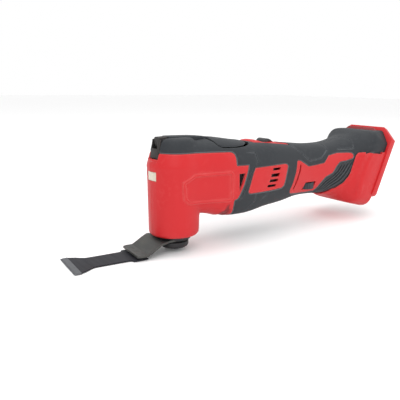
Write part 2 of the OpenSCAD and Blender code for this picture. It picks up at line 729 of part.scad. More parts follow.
// ---- controls ------------------------------------------------------------
knob_x0 = 102;
bezel_top = [[bezel_x0, 79.4], [bezel_x0 + 4, 82.6], [bezel_x0 + 10, 81.6], [knob_x0 + 22, 79],
             [bezel_x1 - 4, 76.4], [bezel_x1, 74]];
function lifted(points, d) = [for (p = points) [p[0], rim_z + p[1] + d]];
function reversed(list) = [for (i = [len(list) - 1:-1:0]) list[i]];
slot_x1 = knob_x0 + knob_len + switch_travel + 1;
module switch_bezel() color(red) difference() {
    through_side(2 * bezel_hw) polygon(concat(lifted(bezel_top, 0), reversed(lifted(bezel_top, -4.2))));
    translate([knob_x0 - 1, -6.6, 0]) cube([slot_x1 - knob_x0 + 1, 13.2, 200]);
    translate([slot_x1 - 2, -6.6, rim_z + 75.5]) cube([12, 13.2, 60]);
}

plate_z = rim_z + 70.2;
module switch_slider() color([0.12, 0.12, 0.13]) {
    translate([knob_x0 - 3, -8.5, plate_z]) cube([knob_len + 6, 17, 1.5]);
    through_side(12.4) polygon([
        [knob_x0, plate_z + 1.4], [knob_x0, rim_z + 80.6], [knob_x0 + 4, rim_z + 82.6],
        [knob_x0 + 11, rim_z + 82.7], [knob_x0 + knob_len, rim_z + 79.6], [knob_x0 + knob_len, plate_z + 1.4]]);
}

switch_z0 = axis_z + motor_r + 0.5;
switch_z1 = plate_z - 1;
module slide_switch() color([0.2, 0.2, 0.22]) difference() {
    translate([knob_x0 - 7, -9, switch_z0]) cube([32, 18, switch_z1 - switch_z0]);
    translate([knob_x0 + 3, -3.4, switch_z1 - 3.5]) cube([5 + switch_travel + 1, 6.8, 10]);
}
module switch_link() color([0.85, 0.85, 0.82])
    translate([knob_x0 + 3.5, -3, switch_z1 - 3]) cube([5, 6, plate_z - switch_z1 + 3]);

knurl_count = 24;
module speed_dial() color([0.25, 0.27, 0.3]) translate([dial_x, dial_y, dial_z]) difference() {
    cylinder(h = dial_t, r = dial_r, center = true);
    for (i = [0:knurl_count - 1]) rotate([0, 0, 360 * i / knurl_count]) translate([dial_r + 0.35, 0, -dial_t])
        cylinder(h = 2 * dial_t, r = 0.8, $fn = 16);
    cylinder(h = 40, r = 2.1 + fit, center = true);
}

module dial_board() color([0.1, 0.35, 0.2]) {
    translate([dial_x - 11, dial_y - 3, dial_z + dial_t / 2 + 1]) cube([22, 20, 1.6]);
    translate([dial_x, dial_y, dial_z - dial_t / 2 - 0.5]) cylinder(h = dial_t + 1.6, r = 2.1);
}

board_x0 = barrel_len + 26;
board_x1 = grip_x + 12;
board_z = rim_z + 46;
module control_board() color([0.1, 0.35, 0.2]) {
    translate([board_x0, -13, board_z]) cube([board_x1 - board_x0, 26, 1.6]);
    for (i = [0:3]) translate([board_x0 + 5 + 7 * i, -8, board_z + 1.6]) cube([4, 5, 2.2]);
}
module heat_sink() color(steel) for (i = [0:4]) translate([board_x0 + 4, 2 + 2.2 * i, board_z + 1.7])
    cube([26, 1, 6]);

module led_board() color([0.1, 0.35, 0.2]) translate([-ridge_r + 5.4, -4.6, led_z - 4.6]) cube([0.8, 9.2, 9.2]);
module led_lens() color([0.95, 0.93, 0.85, 0.6]) intersection() {
    translate([-ridge_r + 0.4, -led_hw, led_z - led_hh]) cube([4.6, 2 * led_hw, 2 * led_hh]);
    cylinder(h = 200, r = ridge_r - 0.6);
}

module housing_screws() color(dark_steel) for (s = screw_spots) {
    translate([0, -head_seat + 1, 0]) along_y(s[0], s[1]) cylinder(h = 2 * head_seat - 1, r = screw_r);
    translate([0, head_seat, 0]) along_y(s[0], s[1]) difference() {
        cylinder(h = 2, r = 3);
        translate([0, 0, 1]) cylinder(h = 2, r = 1.4, $fn = 6);
    }
}

// ---- wires: tubes swept along hand-set points ------------------------------
wire_r = 1.1;
function unit(v) = v / norm(v);
function wire_ring(p, d) = let (u = unit(cross(d, [0, 0.2, 1])), v = cross(u, d))
    [for (i = [0:7]) p + wire_r * (cos(45 * i) * u + sin(45 * i) * v)];
module wire(path) {
    last = len(path) - 1;
    rings = [for (i = [0:last]) wire_ring(path[i], unit(path[min(i + 1, last)] - path[max(i - 1, 0)]))];
    polyhedron(
        points = [for (r = rings) for (p = r) p],
        faces = concat(
            [[for (i = [0:7]) i]],
            [for (k = [0:last - 1]) for (i = [0:7])
                [8 * k + i, 8 * (k + 1) + i, 8 * (k + 1) + (i + 1) % 8, 8 * k + (i + 1) % 8]],
            [[for (i = [7:-1:0]) 8 * last + i]]));
}

module battery_wires() color([0.75, 0.1, 0.1]) for (side = [-1, 1])
    wire([[board_x1 + 1, side * 6, board_z + 1], [board_x1 + 5, side * 6.5, board_z],
          [board_x1 + 10, side * 7, board_z - 2], foot_point(-bay_depth - 5.5, side * 7.5, block_s + 15)]);

module motor_wires() color([0.12, 0.12, 0.14]) for (side = [-1, 1])
    wire([[can_x1 + bell_t + 1, side * 9, axis_z + 3], [can_x1 + bell_t + 8, side * 9.5, axis_z + 5],
          [board_x0 - 10, side * 10, board_z + 1], [board_x0 - 1, side * 10, board_z + 1]]);

// ---- blade -----------------------------------------------------------------
blade_t = 1.2;
drop = 8.5;
bend_x0 = 20;
bend_x1 = 35;
bracket_end = 45;
edge_depth = 10;
blade_z = -drop - hub_t - blade_t;
module mounted() rotate([0, 0, blade_turn]) children();

module blade_bracket() color([0.38, 0.38, 0.4]) mounted() difference() {
    intersection() {
        through_side() polygon([[18, 0], [-bend_x0, 0], [-bend_x1, -drop], [-bracket_end, -drop],
                                [-bracket_end, -drop - hub_t], [-bend_x1 - 0.6, -drop - hub_t],
                                [-bend_x0 - 0.6, -hub_t], [18, -hub_t]]);
        translate([0, 0, -40]) linear_extrude(60) polygon(concat(
            [[-bend_x0 - 5, bracket_w / 2], [-bracket_end, bracket_w / 2], [-bracket_end, -bracket_w / 2],
             [-bend_x0 - 5, -bracket_w / 2]],
            [for (a = [-105:7:105]) (bracket_w / 2 - 2) * [cos(a), sin(a)]]));
    }
    translate([0, 0, -10]) cylinder(h = 20, r = rod_r + 1);
    translate([0, -rod_r - 1, -10]) cube([40, 2 * (rod_r + 1), 20]);
    rotate([0, 0, -blade_turn]) for (i = [0:pin_count - 1]) rotate([0, 0, 360 * (i + 0.5) / pin_count])
        translate([pin_pitch_r, 0, -10]) cylinder(h = 20, r = pin_r + fit);
}

module blade_body() color([0.16, 0.16, 0.17]) mounted() translate([0, 0, blade_z]) linear_extrude(blade_t)
    polygon([[-bend_x1 + 3, -neck_w / 2 - 4], [-bracket_end - 3, -neck_w / 2 - 4], [-bracket_end - 6, -neck_w / 2],
             [-blade_len + edge_depth + 12, -neck_w / 2], [-blade_len + edge_depth, -edge_w / 2 + 2],
             [-blade_len + edge_depth, edge_w / 2 - 2], [-blade_len + edge_depth + 12, neck_w / 2],
             [-bracket_end - 6, neck_w / 2], [-bracket_end - 3, neck_w / 2 + 4], [-bend_x1 + 3, neck_w / 2 + 4]]);

module blade_welds() color([0.42, 0.42, 0.44]) mounted() for (side = [-1, 1])
    translate([-bracket_end + 5, side * 6, -drop]) cylinder(h = 0.6, r1 = 2.6, r2 = 1.8);

tooth_count = 28;
tooth_h = 1.3;
module blade_teeth() color([0.6, 0.6, 0.62]) mounted() translate([0, 0, blade_z]) linear_extrude(blade_t) {
    pitch = edge_w / tooth_count;
    x1 = -blade_len + edge_depth;
    polygon(concat([[x1, edge_w / 2], [x1, -edge_w / 2]],
        [for (i = [0:2 * tooth_count]) [-blade_len + (i % 2 == 0 ? tooth_h : 0), -edge_w / 2 + i * pitch / 2]]));
}

left_housing();
right_housing();
left_overmold();
right_overmold();
battery_frame();
terminal_block();
terminal_blades();
nose_ring();
front_guard();
release_lever();
lever_pin();
lever_bracket();
bracket_screws();
clamp_rod();
clamp_cap();
clamp_flange();
clamp_spring();
output_spindle();
drive_flange();
drive_pins();
lower_bearing();
upper_bearing();
spindle_seal();
retaining_ring();
oscillating_fork();
gear_case();
gear_case_screws();
eccentric();
eccentric_bearing();
counterweight();
motor_shaft();
front_motor_bearing();
rear_motor_bearing();
cooling_fan();
motor_can();
motor_magnets();
armature_core();
armature_windings();
commutator();
motor_end_bell();
carbon_brushes();
brush_holders();
brush_springs();
switch_bezel();
switch_slider();
switch_link();
slide_switch();
speed_dial();
dial_board();
control_board();
heat_sink();
led_lens();
led_board();
housing_screws();
battery_wires();
motor_wires();
blade_bracket();
blade_body();
blade_welds();
blade_teeth();
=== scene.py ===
import bpy
import bmesh
import json
import math
import numpy as np
from mathutils import Matrix, Vector

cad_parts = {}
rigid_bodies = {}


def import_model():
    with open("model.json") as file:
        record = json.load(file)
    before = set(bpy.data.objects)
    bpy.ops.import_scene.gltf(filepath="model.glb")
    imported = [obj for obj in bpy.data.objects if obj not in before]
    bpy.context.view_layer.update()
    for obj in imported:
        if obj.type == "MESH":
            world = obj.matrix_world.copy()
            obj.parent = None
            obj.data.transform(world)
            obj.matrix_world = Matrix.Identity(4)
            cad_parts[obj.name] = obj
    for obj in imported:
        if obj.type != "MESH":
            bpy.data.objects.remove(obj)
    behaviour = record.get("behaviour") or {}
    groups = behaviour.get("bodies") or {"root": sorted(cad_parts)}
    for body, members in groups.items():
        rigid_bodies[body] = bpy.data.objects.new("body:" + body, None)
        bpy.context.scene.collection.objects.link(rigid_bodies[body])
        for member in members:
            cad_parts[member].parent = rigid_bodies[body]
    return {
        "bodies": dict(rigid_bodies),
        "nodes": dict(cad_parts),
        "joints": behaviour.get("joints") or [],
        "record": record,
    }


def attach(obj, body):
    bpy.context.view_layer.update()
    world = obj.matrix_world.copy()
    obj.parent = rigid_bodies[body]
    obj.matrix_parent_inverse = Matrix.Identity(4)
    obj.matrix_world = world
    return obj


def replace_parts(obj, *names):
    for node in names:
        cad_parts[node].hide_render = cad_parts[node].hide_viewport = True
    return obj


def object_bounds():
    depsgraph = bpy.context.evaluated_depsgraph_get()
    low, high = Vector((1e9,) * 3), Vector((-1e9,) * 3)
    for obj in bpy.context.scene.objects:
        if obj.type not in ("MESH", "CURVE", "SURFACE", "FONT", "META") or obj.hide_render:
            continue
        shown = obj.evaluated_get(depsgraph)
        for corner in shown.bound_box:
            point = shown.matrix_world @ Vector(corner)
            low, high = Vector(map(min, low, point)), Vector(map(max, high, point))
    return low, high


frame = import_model()
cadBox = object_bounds()
ops = bmesh.ops
mm = 0.001
print("frame loaded")

# The seat plane is z = 0; heights h below are above the head's rim
rimDrop = 5.0


def place(x, h, y=0.0):
    return Vector((x, y, h + rimDrop)) * mm


def pairs(*numbers):
    return list(zip(numbers[::2], numbers[1::2]))


def addObject(name, data):
    made = bpy.data.objects.new(name, data)
    bpy.context.scene.collection.objects.link(made)
    return made


def fill(shaderNode, values):
    for label, value in values.items():
        shaderNode.inputs[label].default_value = value


# Camera, floor and light
viewSetup = {"at": (-241.0, 135.5, -373.3), "pitch": 76.15, "roll": 0.78, "yaw": -36.59,
             "lens": 43.86, "shiftX": -0.0121, "shiftY": 0.0135, "near": 0.01}
stageSetup = {"size": 6.0, "middle": 0.1, "gap": 0.0005, "grey": 0.95, "rough": 0.7, "sky": 1.0,
              "aim": (0.1, 0, 0.05)}
lights = {"keyLight": {"at": (-0.5, -0.9, 1.1), "size": 0.9, "power": 7},
          "topLight": {"at": (0.2, 0.1, 1.3), "size": 1.2, "power": 7},
          "fillLight": {"at": (0.9, -0.8, 0.5), "size": 0.8, "power": 1.5}}


def makeCamera(s):
    data = bpy.data.cameras.new("camera")
    data.lens = s["lens"]
    data.shift_x = s["shiftX"]
    data.shift_y = s["shiftY"]
    data.clip_start = s["near"]
    cam = addObject("camera", data)
    cam.location = place(*s["at"])
    turn = Matrix.Rotation(math.radians(s["yaw"]), 4, "Z") @ Matrix.Rotation(math.radians(s["pitch"]), 4, "X")
    turn = turn @ Matrix.Rotation(math.radians(s["roll"]), 4, "Z")
    cam.rotation_euler = turn.to_euler()
    bpy.context.scene.camera = cam


def makeStage(s):
    bm = bmesh.new()
    ops.create_grid(bm, x_segments=1, y_segments=1, size=s["size"])
    ops.translate(bm, verts=bm.verts, vec=(s["middle"], 0, cadBox[0][2] - s["gap"]))
    mesh = bpy.data.meshes.new("floor")
    bm.to_mesh(mesh)
    bm.free()
    floor = addObject("floor", mesh)
    mat = bpy.data.materials.new("paleFloor")
    mat.use_nodes = True
    fill(mat.node_tree.nodes["Principled BSDF"],
         {"Base Color": (s["grey"], s["grey"], s["grey"], 1), "Roughness": s["rough"]})
    mesh.materials.append(mat)
    world = bpy.data.worlds.new("studio")
    world.use_nodes = True
    fill(world.node_tree.nodes["Background"], {"Color": (1, 1, 1, 1), "Strength": s["sky"]})
    bpy.context.scene.world = world


def addLight(name, at, size, power):
    data = bpy.data.lights.new(name, "AREA")
    data.size = size
    data.energy = power
    lamp = addObject(name, data)
    lamp.location = at
    lamp.rotation_euler = (Vector(stageSetup["aim"]) - Vector(at)).to_track_quat("-Z", "Y").to_euler()


makeCamera(viewSetup)
makeStage(stageSetup)
for lightName, light in lights.items():
    addLight(lightName, light["at"], light["size"], light["power"])
bpy.context.scene.view_settings.view_transform = "Standard"
print("camera and stage made")


# Finishes
def group(name, inputs):
    tree = bpy.data.node_groups.new(name, "ShaderNodeTree")
    for label, kind, value in inputs:
        socket = tree.interface.new_socket(label, in_out="INPUT", socket_type=kind)
        socket.default_value = value
    for label in ("Color", "Roughness", "Height"):
        kind = "NodeSocketColor" if label == "Color" else "NodeSocketFloat"
        tree.interface.new_socket(label, in_out="OUTPUT", socket_type=kind)
    return tree, tree.nodes.new("NodeGroupInput").outputs, tree.nodes.new("NodeGroupOutput").inputs


def node(tree, kind, **settings):
    made = tree.nodes.new(kind)
    for key, value in settings.items():
        setattr(made, key, value)
    return made


def mixColors(tree, factor, first, second):
    mix = node(tree, "ShaderNodeMix", data_type="RGBA")
    for index, link in ((0, factor), (6, first), (7, second)):
        tree.links.new(link, mix.inputs[index])
    return mix.outputs[2]


def noiseOf(tree, coords, scale, detail, stretch=None):
    noise = node(tree, "ShaderNodeTexNoise")
    fill(noise, {"Scale": scale, "Detail": detail})
    if stretch:
        mapping = node(tree, "ShaderNodeMapping")
        fill(mapping, {"Scale": stretch})
        tree.links.new(coords, mapping.inputs["Vector"])
        coords = mapping.outputs["Vector"]
    tree.links.new(coords, noise.inputs["Vector"])
    return noise.outputs["Fac"]


def ramp(tree, factor, low, high):
    made = node(tree, "ShaderNodeMapRange")
    fill(made, {"From Min": low, "From Max": high})
    tree.links.new(factor, made.inputs["Value"])
    return made.outputs["Result"]


def calc(tree, operation, first, second):
    made = node(tree, "ShaderNodeMath", operation=operation)
    for index, value in enumerate((first, second)):
        if isinstance(value, (int, float)):
            made.inputs[index].default_value = value
        else:
            tree.links.new(value, made.inputs[index])
    return made.outputs[0]


def times(tree, first, second):
    return calc(tree, "MULTIPLY", first, second)


# Moulded surface: fine grain, a little handling dirt and rubbed edges, plus painted highlights and painted
# shade read from a vertex attribute
def mouldedGroup():
    tree, given, wanted = group("mouldedSurface", [
        ("Base", "NodeSocketColor", (0.5, 0.5, 0.5, 1)), ("Worn And Highlight", "NodeSocketColor", (0.7, 0.7, 0.7, 1)),
        ("Grain Scale", "NodeSocketFloat", 900.0), ("Grain", "NodeSocketFloat", 0.3),
        ("Rough", "NodeSocketFloat", 0.45), ("Wear", "NodeSocketFloat", 0.3)])
    link = tree.links.new
    coords = node(tree, "ShaderNodeTexCoord").outputs["Object"]
    grain = node(tree, "ShaderNodeTexNoise")
    fill(grain, {"Detail": 3.0})
    link(coords, grain.inputs["Vector"])
    link(given["Grain Scale"], grain.inputs["Scale"])
    blotch = ramp(tree, noiseOf(tree, coords, 38.0, 5.0), 0.42, 0.72)
    dust = ramp(tree, noiseOf(tree, coords, 260.0, 4.0), 0.5, 0.8)
    bevel = node(tree, "ShaderNodeBevel", samples=4)
    fill(bevel, {"Radius": 0.0007})
    dot = node(tree, "ShaderNodeVectorMath", operation="DOT_PRODUCT")
    geometry = node(tree, "ShaderNodeNewGeometry")
    link(bevel.outputs["Normal"], dot.inputs[0])
    link(geometry.outputs["Normal"], dot.inputs[1])
    edge = ramp(tree, calc(tree, "SUBTRACT", 1.0, dot.outputs["Value"]), 0.004, 0.11)
    wear = times(tree, edge, given["Wear"])
    wear = times(tree, wear, calc(tree, "ADD", dust, 0.45))
    soil = times(tree, times(tree, blotch, dust), 0.16)
    # Vertex attribute of painted light: positive values are painted highlights, negative values are painted
    # shade
    paintedLight = node(tree, "ShaderNodeAttribute", attribute_name="paintedLight").outputs["Fac"]
    light = times(tree, calc(tree, "MAXIMUM", paintedLight, 0.0), 0.75)
    paintedShade = times(tree, calc(tree, "MAXIMUM", times(tree, paintedLight, -1.0), 0.0), 0.85)
    # Darkened base colour that the painted shade mixes towards
    shade = node(tree, "ShaderNodeVectorMath", operation="SCALE")
    fill(shade, {"Scale": 0.12})
    link(given["Base"], shade.inputs[0])
    # Worn edges and painted highlights take the worn colour, then painted shade darkens the grooves and
    # recesses
    wearAndPaintedLight = mixColors(tree, calc(tree, "MAXIMUM", wear, light), given["Base"], given["Worn And Highlight"])
    wearAndPaintedLight = mixColors(tree, paintedShade, wearAndPaintedLight, shade.outputs["Vector"])
    link(mixColors(tree, soil, wearAndPaintedLight, given["Worn And Highlight"]), wanted["Color"])
    rough = calc(tree, "ADD", given["Rough"], times(tree, blotch, 0.09))
    rough = calc(tree, "ADD", rough, times(tree, grain.outputs["Fac"], 0.06))
    link(rough, wanted["Roughness"])
    link(times(tree, grain.outputs["Fac"], given["Grain"]), wanted["Height"])
    return tree


# Metal: streaks along one direction with faint stains
def metalGroup():
    tree, given, wanted = group("workedMetal", [
        ("Base", "NodeSocketColor", (0.6, 0.6, 0.6, 1)), ("Stain", "NodeSocketColor", (0.3, 0.28, 0.26, 1)),
        ("Rough", "NodeSocketFloat", 0.35), ("Streak", "NodeSocketFloat", 0.3),
        ("Stained", "NodeSocketFloat", 0.3)])
    link = tree.links.new
    coords = node(tree, "ShaderNodeTexCoord").outputs["Object"]
    streak = noiseOf(tree, coords, 420.0, 3.0, (1.0, 0.06, 1.0))
    stain = ramp(tree, noiseOf(tree, coords, 55.0, 6.0), 0.45, 0.75)
    link(mixColors(tree, times(tree, stain, given["Stained"]),
                             given["Base"], given["Stain"]), wanted["Color"])
    rough = calc(tree, "ADD", given["Rough"], times(tree, streak, given["Streak"]))
    link(calc(tree, "ADD", rough, times(tree, stain, 0.1)), wanted["Roughness"])
    link(times(tree, streak, given["Streak"]), wanted["Height"])
    return tree


moulded = mouldedGroup()
worked = metalGroup()


def finish(name, tree, values, metallic=0.0, bump=0.12, depth=0.0004, coat=0.0, specular=0.5):
    material = bpy.data.materials.new(name)
    material.use_nodes = True
    own = material.node_tree
    shader = own.nodes["Principled BSDF"]
    effect = node(own, "ShaderNodeGroup", node_tree=tree)
    relief = node(own, "ShaderNodeBump")
    fill(effect, values)
    fill(relief, {"Strength": bump, "Distance": depth})
    fill(shader, {"Metallic": metallic, "Coat Weight": coat, "Specular IOR Level": specular})
    for start, output, end, socket in ((effect, "Color", shader, "Base Color"),
                                       (effect, "Roughness", shader, "Roughness"),
                                       (effect, "Height", relief, "Height"),
                                       (relief, "Normal", shader, "Normal")):
        own.links.new(start.outputs[output], end.inputs[socket])
    return material


def plastic(name, base, wearAndPaintedLight, rough, wear=0.3, grain=0.3, scale=900.0, bump=0.12, coat=0.0, specular=0.5):
    values = {"Base": (*base, 1), "Worn And Highlight": (*wearAndPaintedLight, 1), "Grain Scale": scale, "Grain": grain, "Rough": rough,
              "Wear": wear}
    return finish(name, moulded, values, bump=bump, coat=coat, specular=specular)


def metal(name, base, stain, rough, streak=0.25, stained=0.3, metallic=1.0, specular=0.5):
    values = {"Base": (*base, 1), "Stain": (*stain, 1), "Rough": rough, "Streak": streak, "Stained": stained}
    return finish(name, worked, values, metallic=metallic, bump=0.08, depth=0.0002, specular=specular)


redPlastic = plastic("redPlastic", (0.49, 0.007, 0.010), (0.66, 0.14, 0.13), 0.42, wear=0.6,
                     coat=0.04, specular=0.35)
# Red plastic darkened as painted shade, for the bezel recess and the inside of the battery bay
shadedRed = plastic("shadedRed", (0.20, 0.003, 0.006), (0.45, 0.05, 0.05), 0.42, wear=0.3)
gripRubber = plastic("gripRubber", (0.017, 0.020, 0.024), (0.16, 0.17, 0.18), 0.56, wear=0.55, grain=0.6,
                     scale=1500.0, bump=0.2, specular=0.34)
blackPlastic = plastic("blackPlastic", (0.018, 0.018, 0.020), (0.14, 0.14, 0.15), 0.42, wear=0.45)
nosePlastic = plastic("nosePlastic", (0.013, 0.010, 0.009), (0.11, 0.09, 0.08), 0.55, wear=0.5, grain=1.0,
                      scale=500.0, bump=0.4)
sealRubber = plastic("sealRubber", (0.02, 0.02, 0.02), (0.09, 0.09, 0.09), 0.7, wear=0.2)
dialGrey = plastic("dialGrey", (0.013, 0.015, 0.021), (0.1, 0.11, 0.13), 0.4, wear=0.5)
whitePlastic = plastic("whitePlastic", (0.78, 0.77, 0.72), (0.86, 0.85, 0.82), 0.4, wear=0.2)
boardGreen = plastic("boardGreen", (0.02, 0.13, 0.06), (0.2, 0.35, 0.25), 0.35, wear=0.3, coat=0.4)
wireRed = plastic("wireRed", (0.6, 0.02, 0.02), (0.7, 0.2, 0.2), 0.4, wear=0.1)
wireBlack = plastic("wireBlack", (0.02, 0.02, 0.022), (0.1, 0.1, 0.1), 0.42, wear=0.1)
carbonBlock = plastic("carbonBlock", (0.03, 0.03, 0.032), (0.12, 0.12, 0.12), 0.75, wear=0.3)
ferriteBlock = plastic("ferriteBlock", (0.07, 0.07, 0.075), (0.2, 0.2, 0.2), 0.7, wear=0.3)
bareSteel = metal("bareSteel", (0.62, 0.63, 0.65), (0.36, 0.34, 0.32), 0.28)
blackSteel = metal("blackSteel", (0.035, 0.035, 0.038), (0.10, 0.09, 0.08), 0.38, metallic=0.7)
castAlloy = metal("castAlloy", (0.55, 0.56, 0.57), (0.35, 0.35, 0.35), 0.5, streak=0.1)
brassMetal = metal("brassMetal", (0.72, 0.50, 0.20), (0.40, 0.26, 0.12), 0.3)
copperWire = metal("copperWire", (0.70, 0.28, 0.12), (0.35, 0.12, 0.06), 0.32)
bracketGrey = metal("bracketGrey", (0.075, 0.076, 0.073), (0.15, 0.145, 0.125), 0.40, stained=0.5,
                    metallic=0.75)
bladeBlack = metal("bladeBlack", (0.012, 0.012, 0.017), (0.040, 0.036, 0.034), 0.42, metallic=0.0,
                   specular=0.22)
edgeSteel = metal("edgeSteel", (0.125, 0.13, 0.14), (0.09, 0.09, 0.09), 0.34, metallic=0.85)
lensClear = plastic("lensClear", (0.80, 0.72, 0.58), (0.9, 0.88, 0.8), 0.16, wear=0.1, coat=0.5)
lensClear.node_tree.nodes["Principled BSDF"].inputs["Transmission Weight"].default_value = 0.35
print("finishes made")


def tidyNormals(bm):
    ops.recalc_face_normals(bm, faces=bm.faces)


def linkPiece(name, bm, materials, body, sharp=32.0):
    tidyNormals(bm)
    for edge in bm.edges:
        if len(edge.link_faces) == 2 and edge.calc_face_angle(0.0) > math.radians(sharp):
            edge.smooth = False
    for face in bm.faces:
        face.smooth = True
    mesh = bpy.data.meshes.new(name)
    bm.to_mesh(mesh)
    bm.free()
    piece = addObject(name, mesh)
    for material in materials:
        mesh.materials.append(material)
    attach(piece, body)
    return piece


# Outer skin
# Profile of the head: height, radius
headProfile = pairs(
    0, 22.2, 0.5, 23.0, 1.4, 23.5, 2.6, 23.75, 61.5, 24.7, 63.6, 25.0, 65.4, 24.8, 68, 24.0, 73, 22.5,
    76.8, 21.4, 77.8, 20.9, 82, 19.9, 85.4, 19.0, 87.4, 17.8, 88.6, 16.2, 89.3, 13.8, 89.6, 9.5)
# Body stations: bottom x, bottom h, top x, top h, half width, squareness
bodyLine = [
    (14, 18, 14, 86.3, 25.4, 3.0), (29, 15.8, 29, 86.8, 27.4, 3.2), (44.2, 12, 44.2, 86.2, 29.5, 3.4),
    (72, 11, 72, 82.2, 30.5, 3.4), (97.5, 14, 97.5, 80.5, 30, 3.2), (124.2, 15.5, 124.2, 78, 28, 2.9),
    (147.5, 18, 149.8, 75.7, 25, 2.7), (168, 18, 172.6, 73.6, 23.5, 2.6),
    (189.3, 16.6, 195.4, 73.2, 23.8, 2.6), (203, 15.5, 214, 74.4, 24.6, 2.7),
    (210, 13.2, 229, 77.0, 25.6, 2.8), (217, 10.6, 242.5, 79.6, 27.0, 3.0),
    (223.5, 7.9, 254.0, 84.0, 31.2, 4.8), (230, 5.0, 262.5, 85.6, 35.4, 7.2),
    (249.8, -0.3, 288.4, 84.6, 35.9, 8.0)]
foot = {"x": 259.3, "h": 8.7, "tilt": 23.7, "len": 85.0, "hw": 40.0, "rim": 7.6}


def interp(table, value):
    for a, b in zip(table, table[1:]):
        if value <= b[0]:
            t = (value - a[0]) / (b[0] - a[0]) if b[0] > a[0] else 0.0
            return a[1] + max(t, 0.0) * (b[1] - a[1])
    return table[-1][1]


def headRadius(h):
    return interp(headProfile, h)


def bodyAt(u):
    i = max(0, min(len(bodyLine) - 2, int(u)))
    t = u - i
    last = len(bodyLine) - 1
    p1, p2 = bodyLine[i], bodyLine[i + 1]
    p0 = bodyLine[i - 1] if i else [2 * b - c for b, c in zip(p1, p2)]
    p3 = bodyLine[i + 2] if i + 2 <= last else [2 * c - b for b, c in zip(p1, p2)]
    out = []
    for a, b, c, d in zip(p0, p1, p2, p3):
        slopeB, slopeC = (c - a) / 2, (d - b) / 2
        out.append((2 * t ** 3 - 3 * t ** 2 + 1) * b + (t ** 3 - 2 * t ** 2 + t) * slopeB
                   + (3 * t ** 2 - 2 * t ** 3) * c + (t ** 3 - t ** 2) * slopeC)
    return out


def bodyWidth(s, h):
    mid, half = (s[1] + s[3]) / 2, (s[3] - s[1]) / 2
    w = abs(h - mid) / half
    return s[4] * (1 - w ** s[5]) ** (1 / s[5]) if w < 1 else 0.0


def blendMax(a, b, reach):
    d = abs(a - b)
    return max(a, b) + (0.25 * (reach - d) ** 2 / reach if d < reach and min(a, b) > 0.3 else 0.0)


def resample(points, counts, breaks):
    out = []
    for (start, stop), count in zip(zip(breaks, breaks[1:]), counts):
        part = points[start:stop + 1]
        lengths = [0.0]
        for a, b in zip(part, part[1:]):
            lengths.append(lengths[-1] + math.dist(a, b))
        if lengths[-1] < 1e-6:
            out += [part[0]] * count
            continue
        k = 0
        for n in range(count):
            want = lengths[-1] * n / count
            while lengths[k + 1] < want:
                k += 1
            t = (want - lengths[k]) / max(lengths[k + 1] - lengths[k], 1e-9)
            out.append(tuple(x + t * (y - x) for x, y in zip(part[k], part[k + 1])))
    out.append(points[breaks[-1]])
    return out


rowCounts = (26, 12, 10, 8, 2)
crown = 89.6


# One cross-section as points (x, y, h) from the top centre down to the bottom centre
def frontSection(angle):
    points = [(0.0, crown)] + [(headRadius(h), h) for h in np.arange(89.4, -0.01, -0.2)] + [(0.0, 0.0)]
    heights = [p[1] for p in points]
    breaks = [0]
    for goal in (45, 26, 17.5, 0):
        breaks.append(min(range(1, len(points) - 1), key=lambda i: abs(heights[i] - goal)))
    rows = resample(points, rowCounts, breaks + [len(points) - 1])
    return [(r * math.cos(angle), -r * math.sin(angle), h) for r, h in rows]


def midSection(x):
    u = 0.0
    while bodyAt(u)[0] < x:
        u += 0.005
    s = bodyAt(u)
    if x < bodyLine[0][0]:
        s[4] -= (bodyLine[0][0] - x) * 0.16
    topHead = max([h for h in np.arange(60, crown + 0.01, 0.1) if headRadius(h) > x], default=0)
    top = max(s[3], topHead)
    mid, half = (s[1] + s[3]) / 2, (s[3] - s[1]) / 2
    heights = set(np.arange(0, crown, 0.5))
    for k in range(121):
        lean = math.cos(math.pi * k / 120)
        heights.add(mid + half * math.copysign(abs(lean) ** (2 / s[5]), lean))
    heights = sorted((h for h in heights if h <= top + 1e-9), reverse=True)
    points = [(0.0, top)]
    inner = None
    for h in heights:
        body = bodyWidth(s, h)
        head = math.sqrt(max(headRadius(h) ** 2 - x * x, 0.0)) if h >= 0 else 0.0
        if h < s[1] and head <= 0:
            continue
        points.append((blendMax(body, head, 3.0), h))
        if inner is None and h < 40 and body < head:
            inner = len(points) - 1
    points.append((0.0, points[-1][1]))
    last = len(points) - 1
    side = min(range(len(points)), key=lambda i: abs(points[i][1] - 45))
    corner = min(range(side, len(points)), key=lambda i: abs(points[i][1] - (s[1] + 9)))
    inner = max(corner + 1, inner or last)
    breaks = [0, side, corner] + ([inner, last - 1, last] if inner < last else 3 * [last])
    return [(x, -y, h) for y, h in resample(points, rowCounts, breaks)]


def rearSection(u):
    s = bodyAt(u)
    points = []
    # the top corners are cut off towards the rim
    limit = 1.62 + 0.5 * (1 - min(max(0.0, (u - 11.0) / 3.0), 1.0))
    for k in range(241):
        c, d = math.cos(math.pi * k / 240), math.sin(math.pi * k / 240)
        w = math.copysign(abs(c) ** (2 / s[5]), c)
        y = s[4] * abs(d) ** (2 / s[5])
        over = w + 0.98 * y / s[4] - limit
        if w > 0 and over > 0:
            w -= over / 2
            y -= over / 2 * s[4]
        mix = (w + 1) / 2
        points.append((s[0] + mix * (s[2] - s[0]), s[1] + mix * (s[3] - s[1]), y))
    return [(x, -y, h) for x, h, y in resample(points, rowCounts, [0, 120, 184] + 3 * [240])]


def skinSections():
    sections = [frontSection(math.pi - math.pi / 2 * k / 16) for k in range(16)]
    turns = (0.001, 8, 16, 24, 32, 40, 47, 54, 60, 66, 71, 75.5, 79.5, 83, 86, 88.3)
    sections += [midSection(24.45 * math.sin(math.radians(a))) for a in turns]
    last = len(bodyLine) - 1
    sections += [rearSection(u) for u in np.concatenate([
        np.arange(0.74, 3, 0.22), np.arange(3.02, 11, 0.2), np.arange(11.02, last - 0.01, 0.16), [last]])]
    return sections


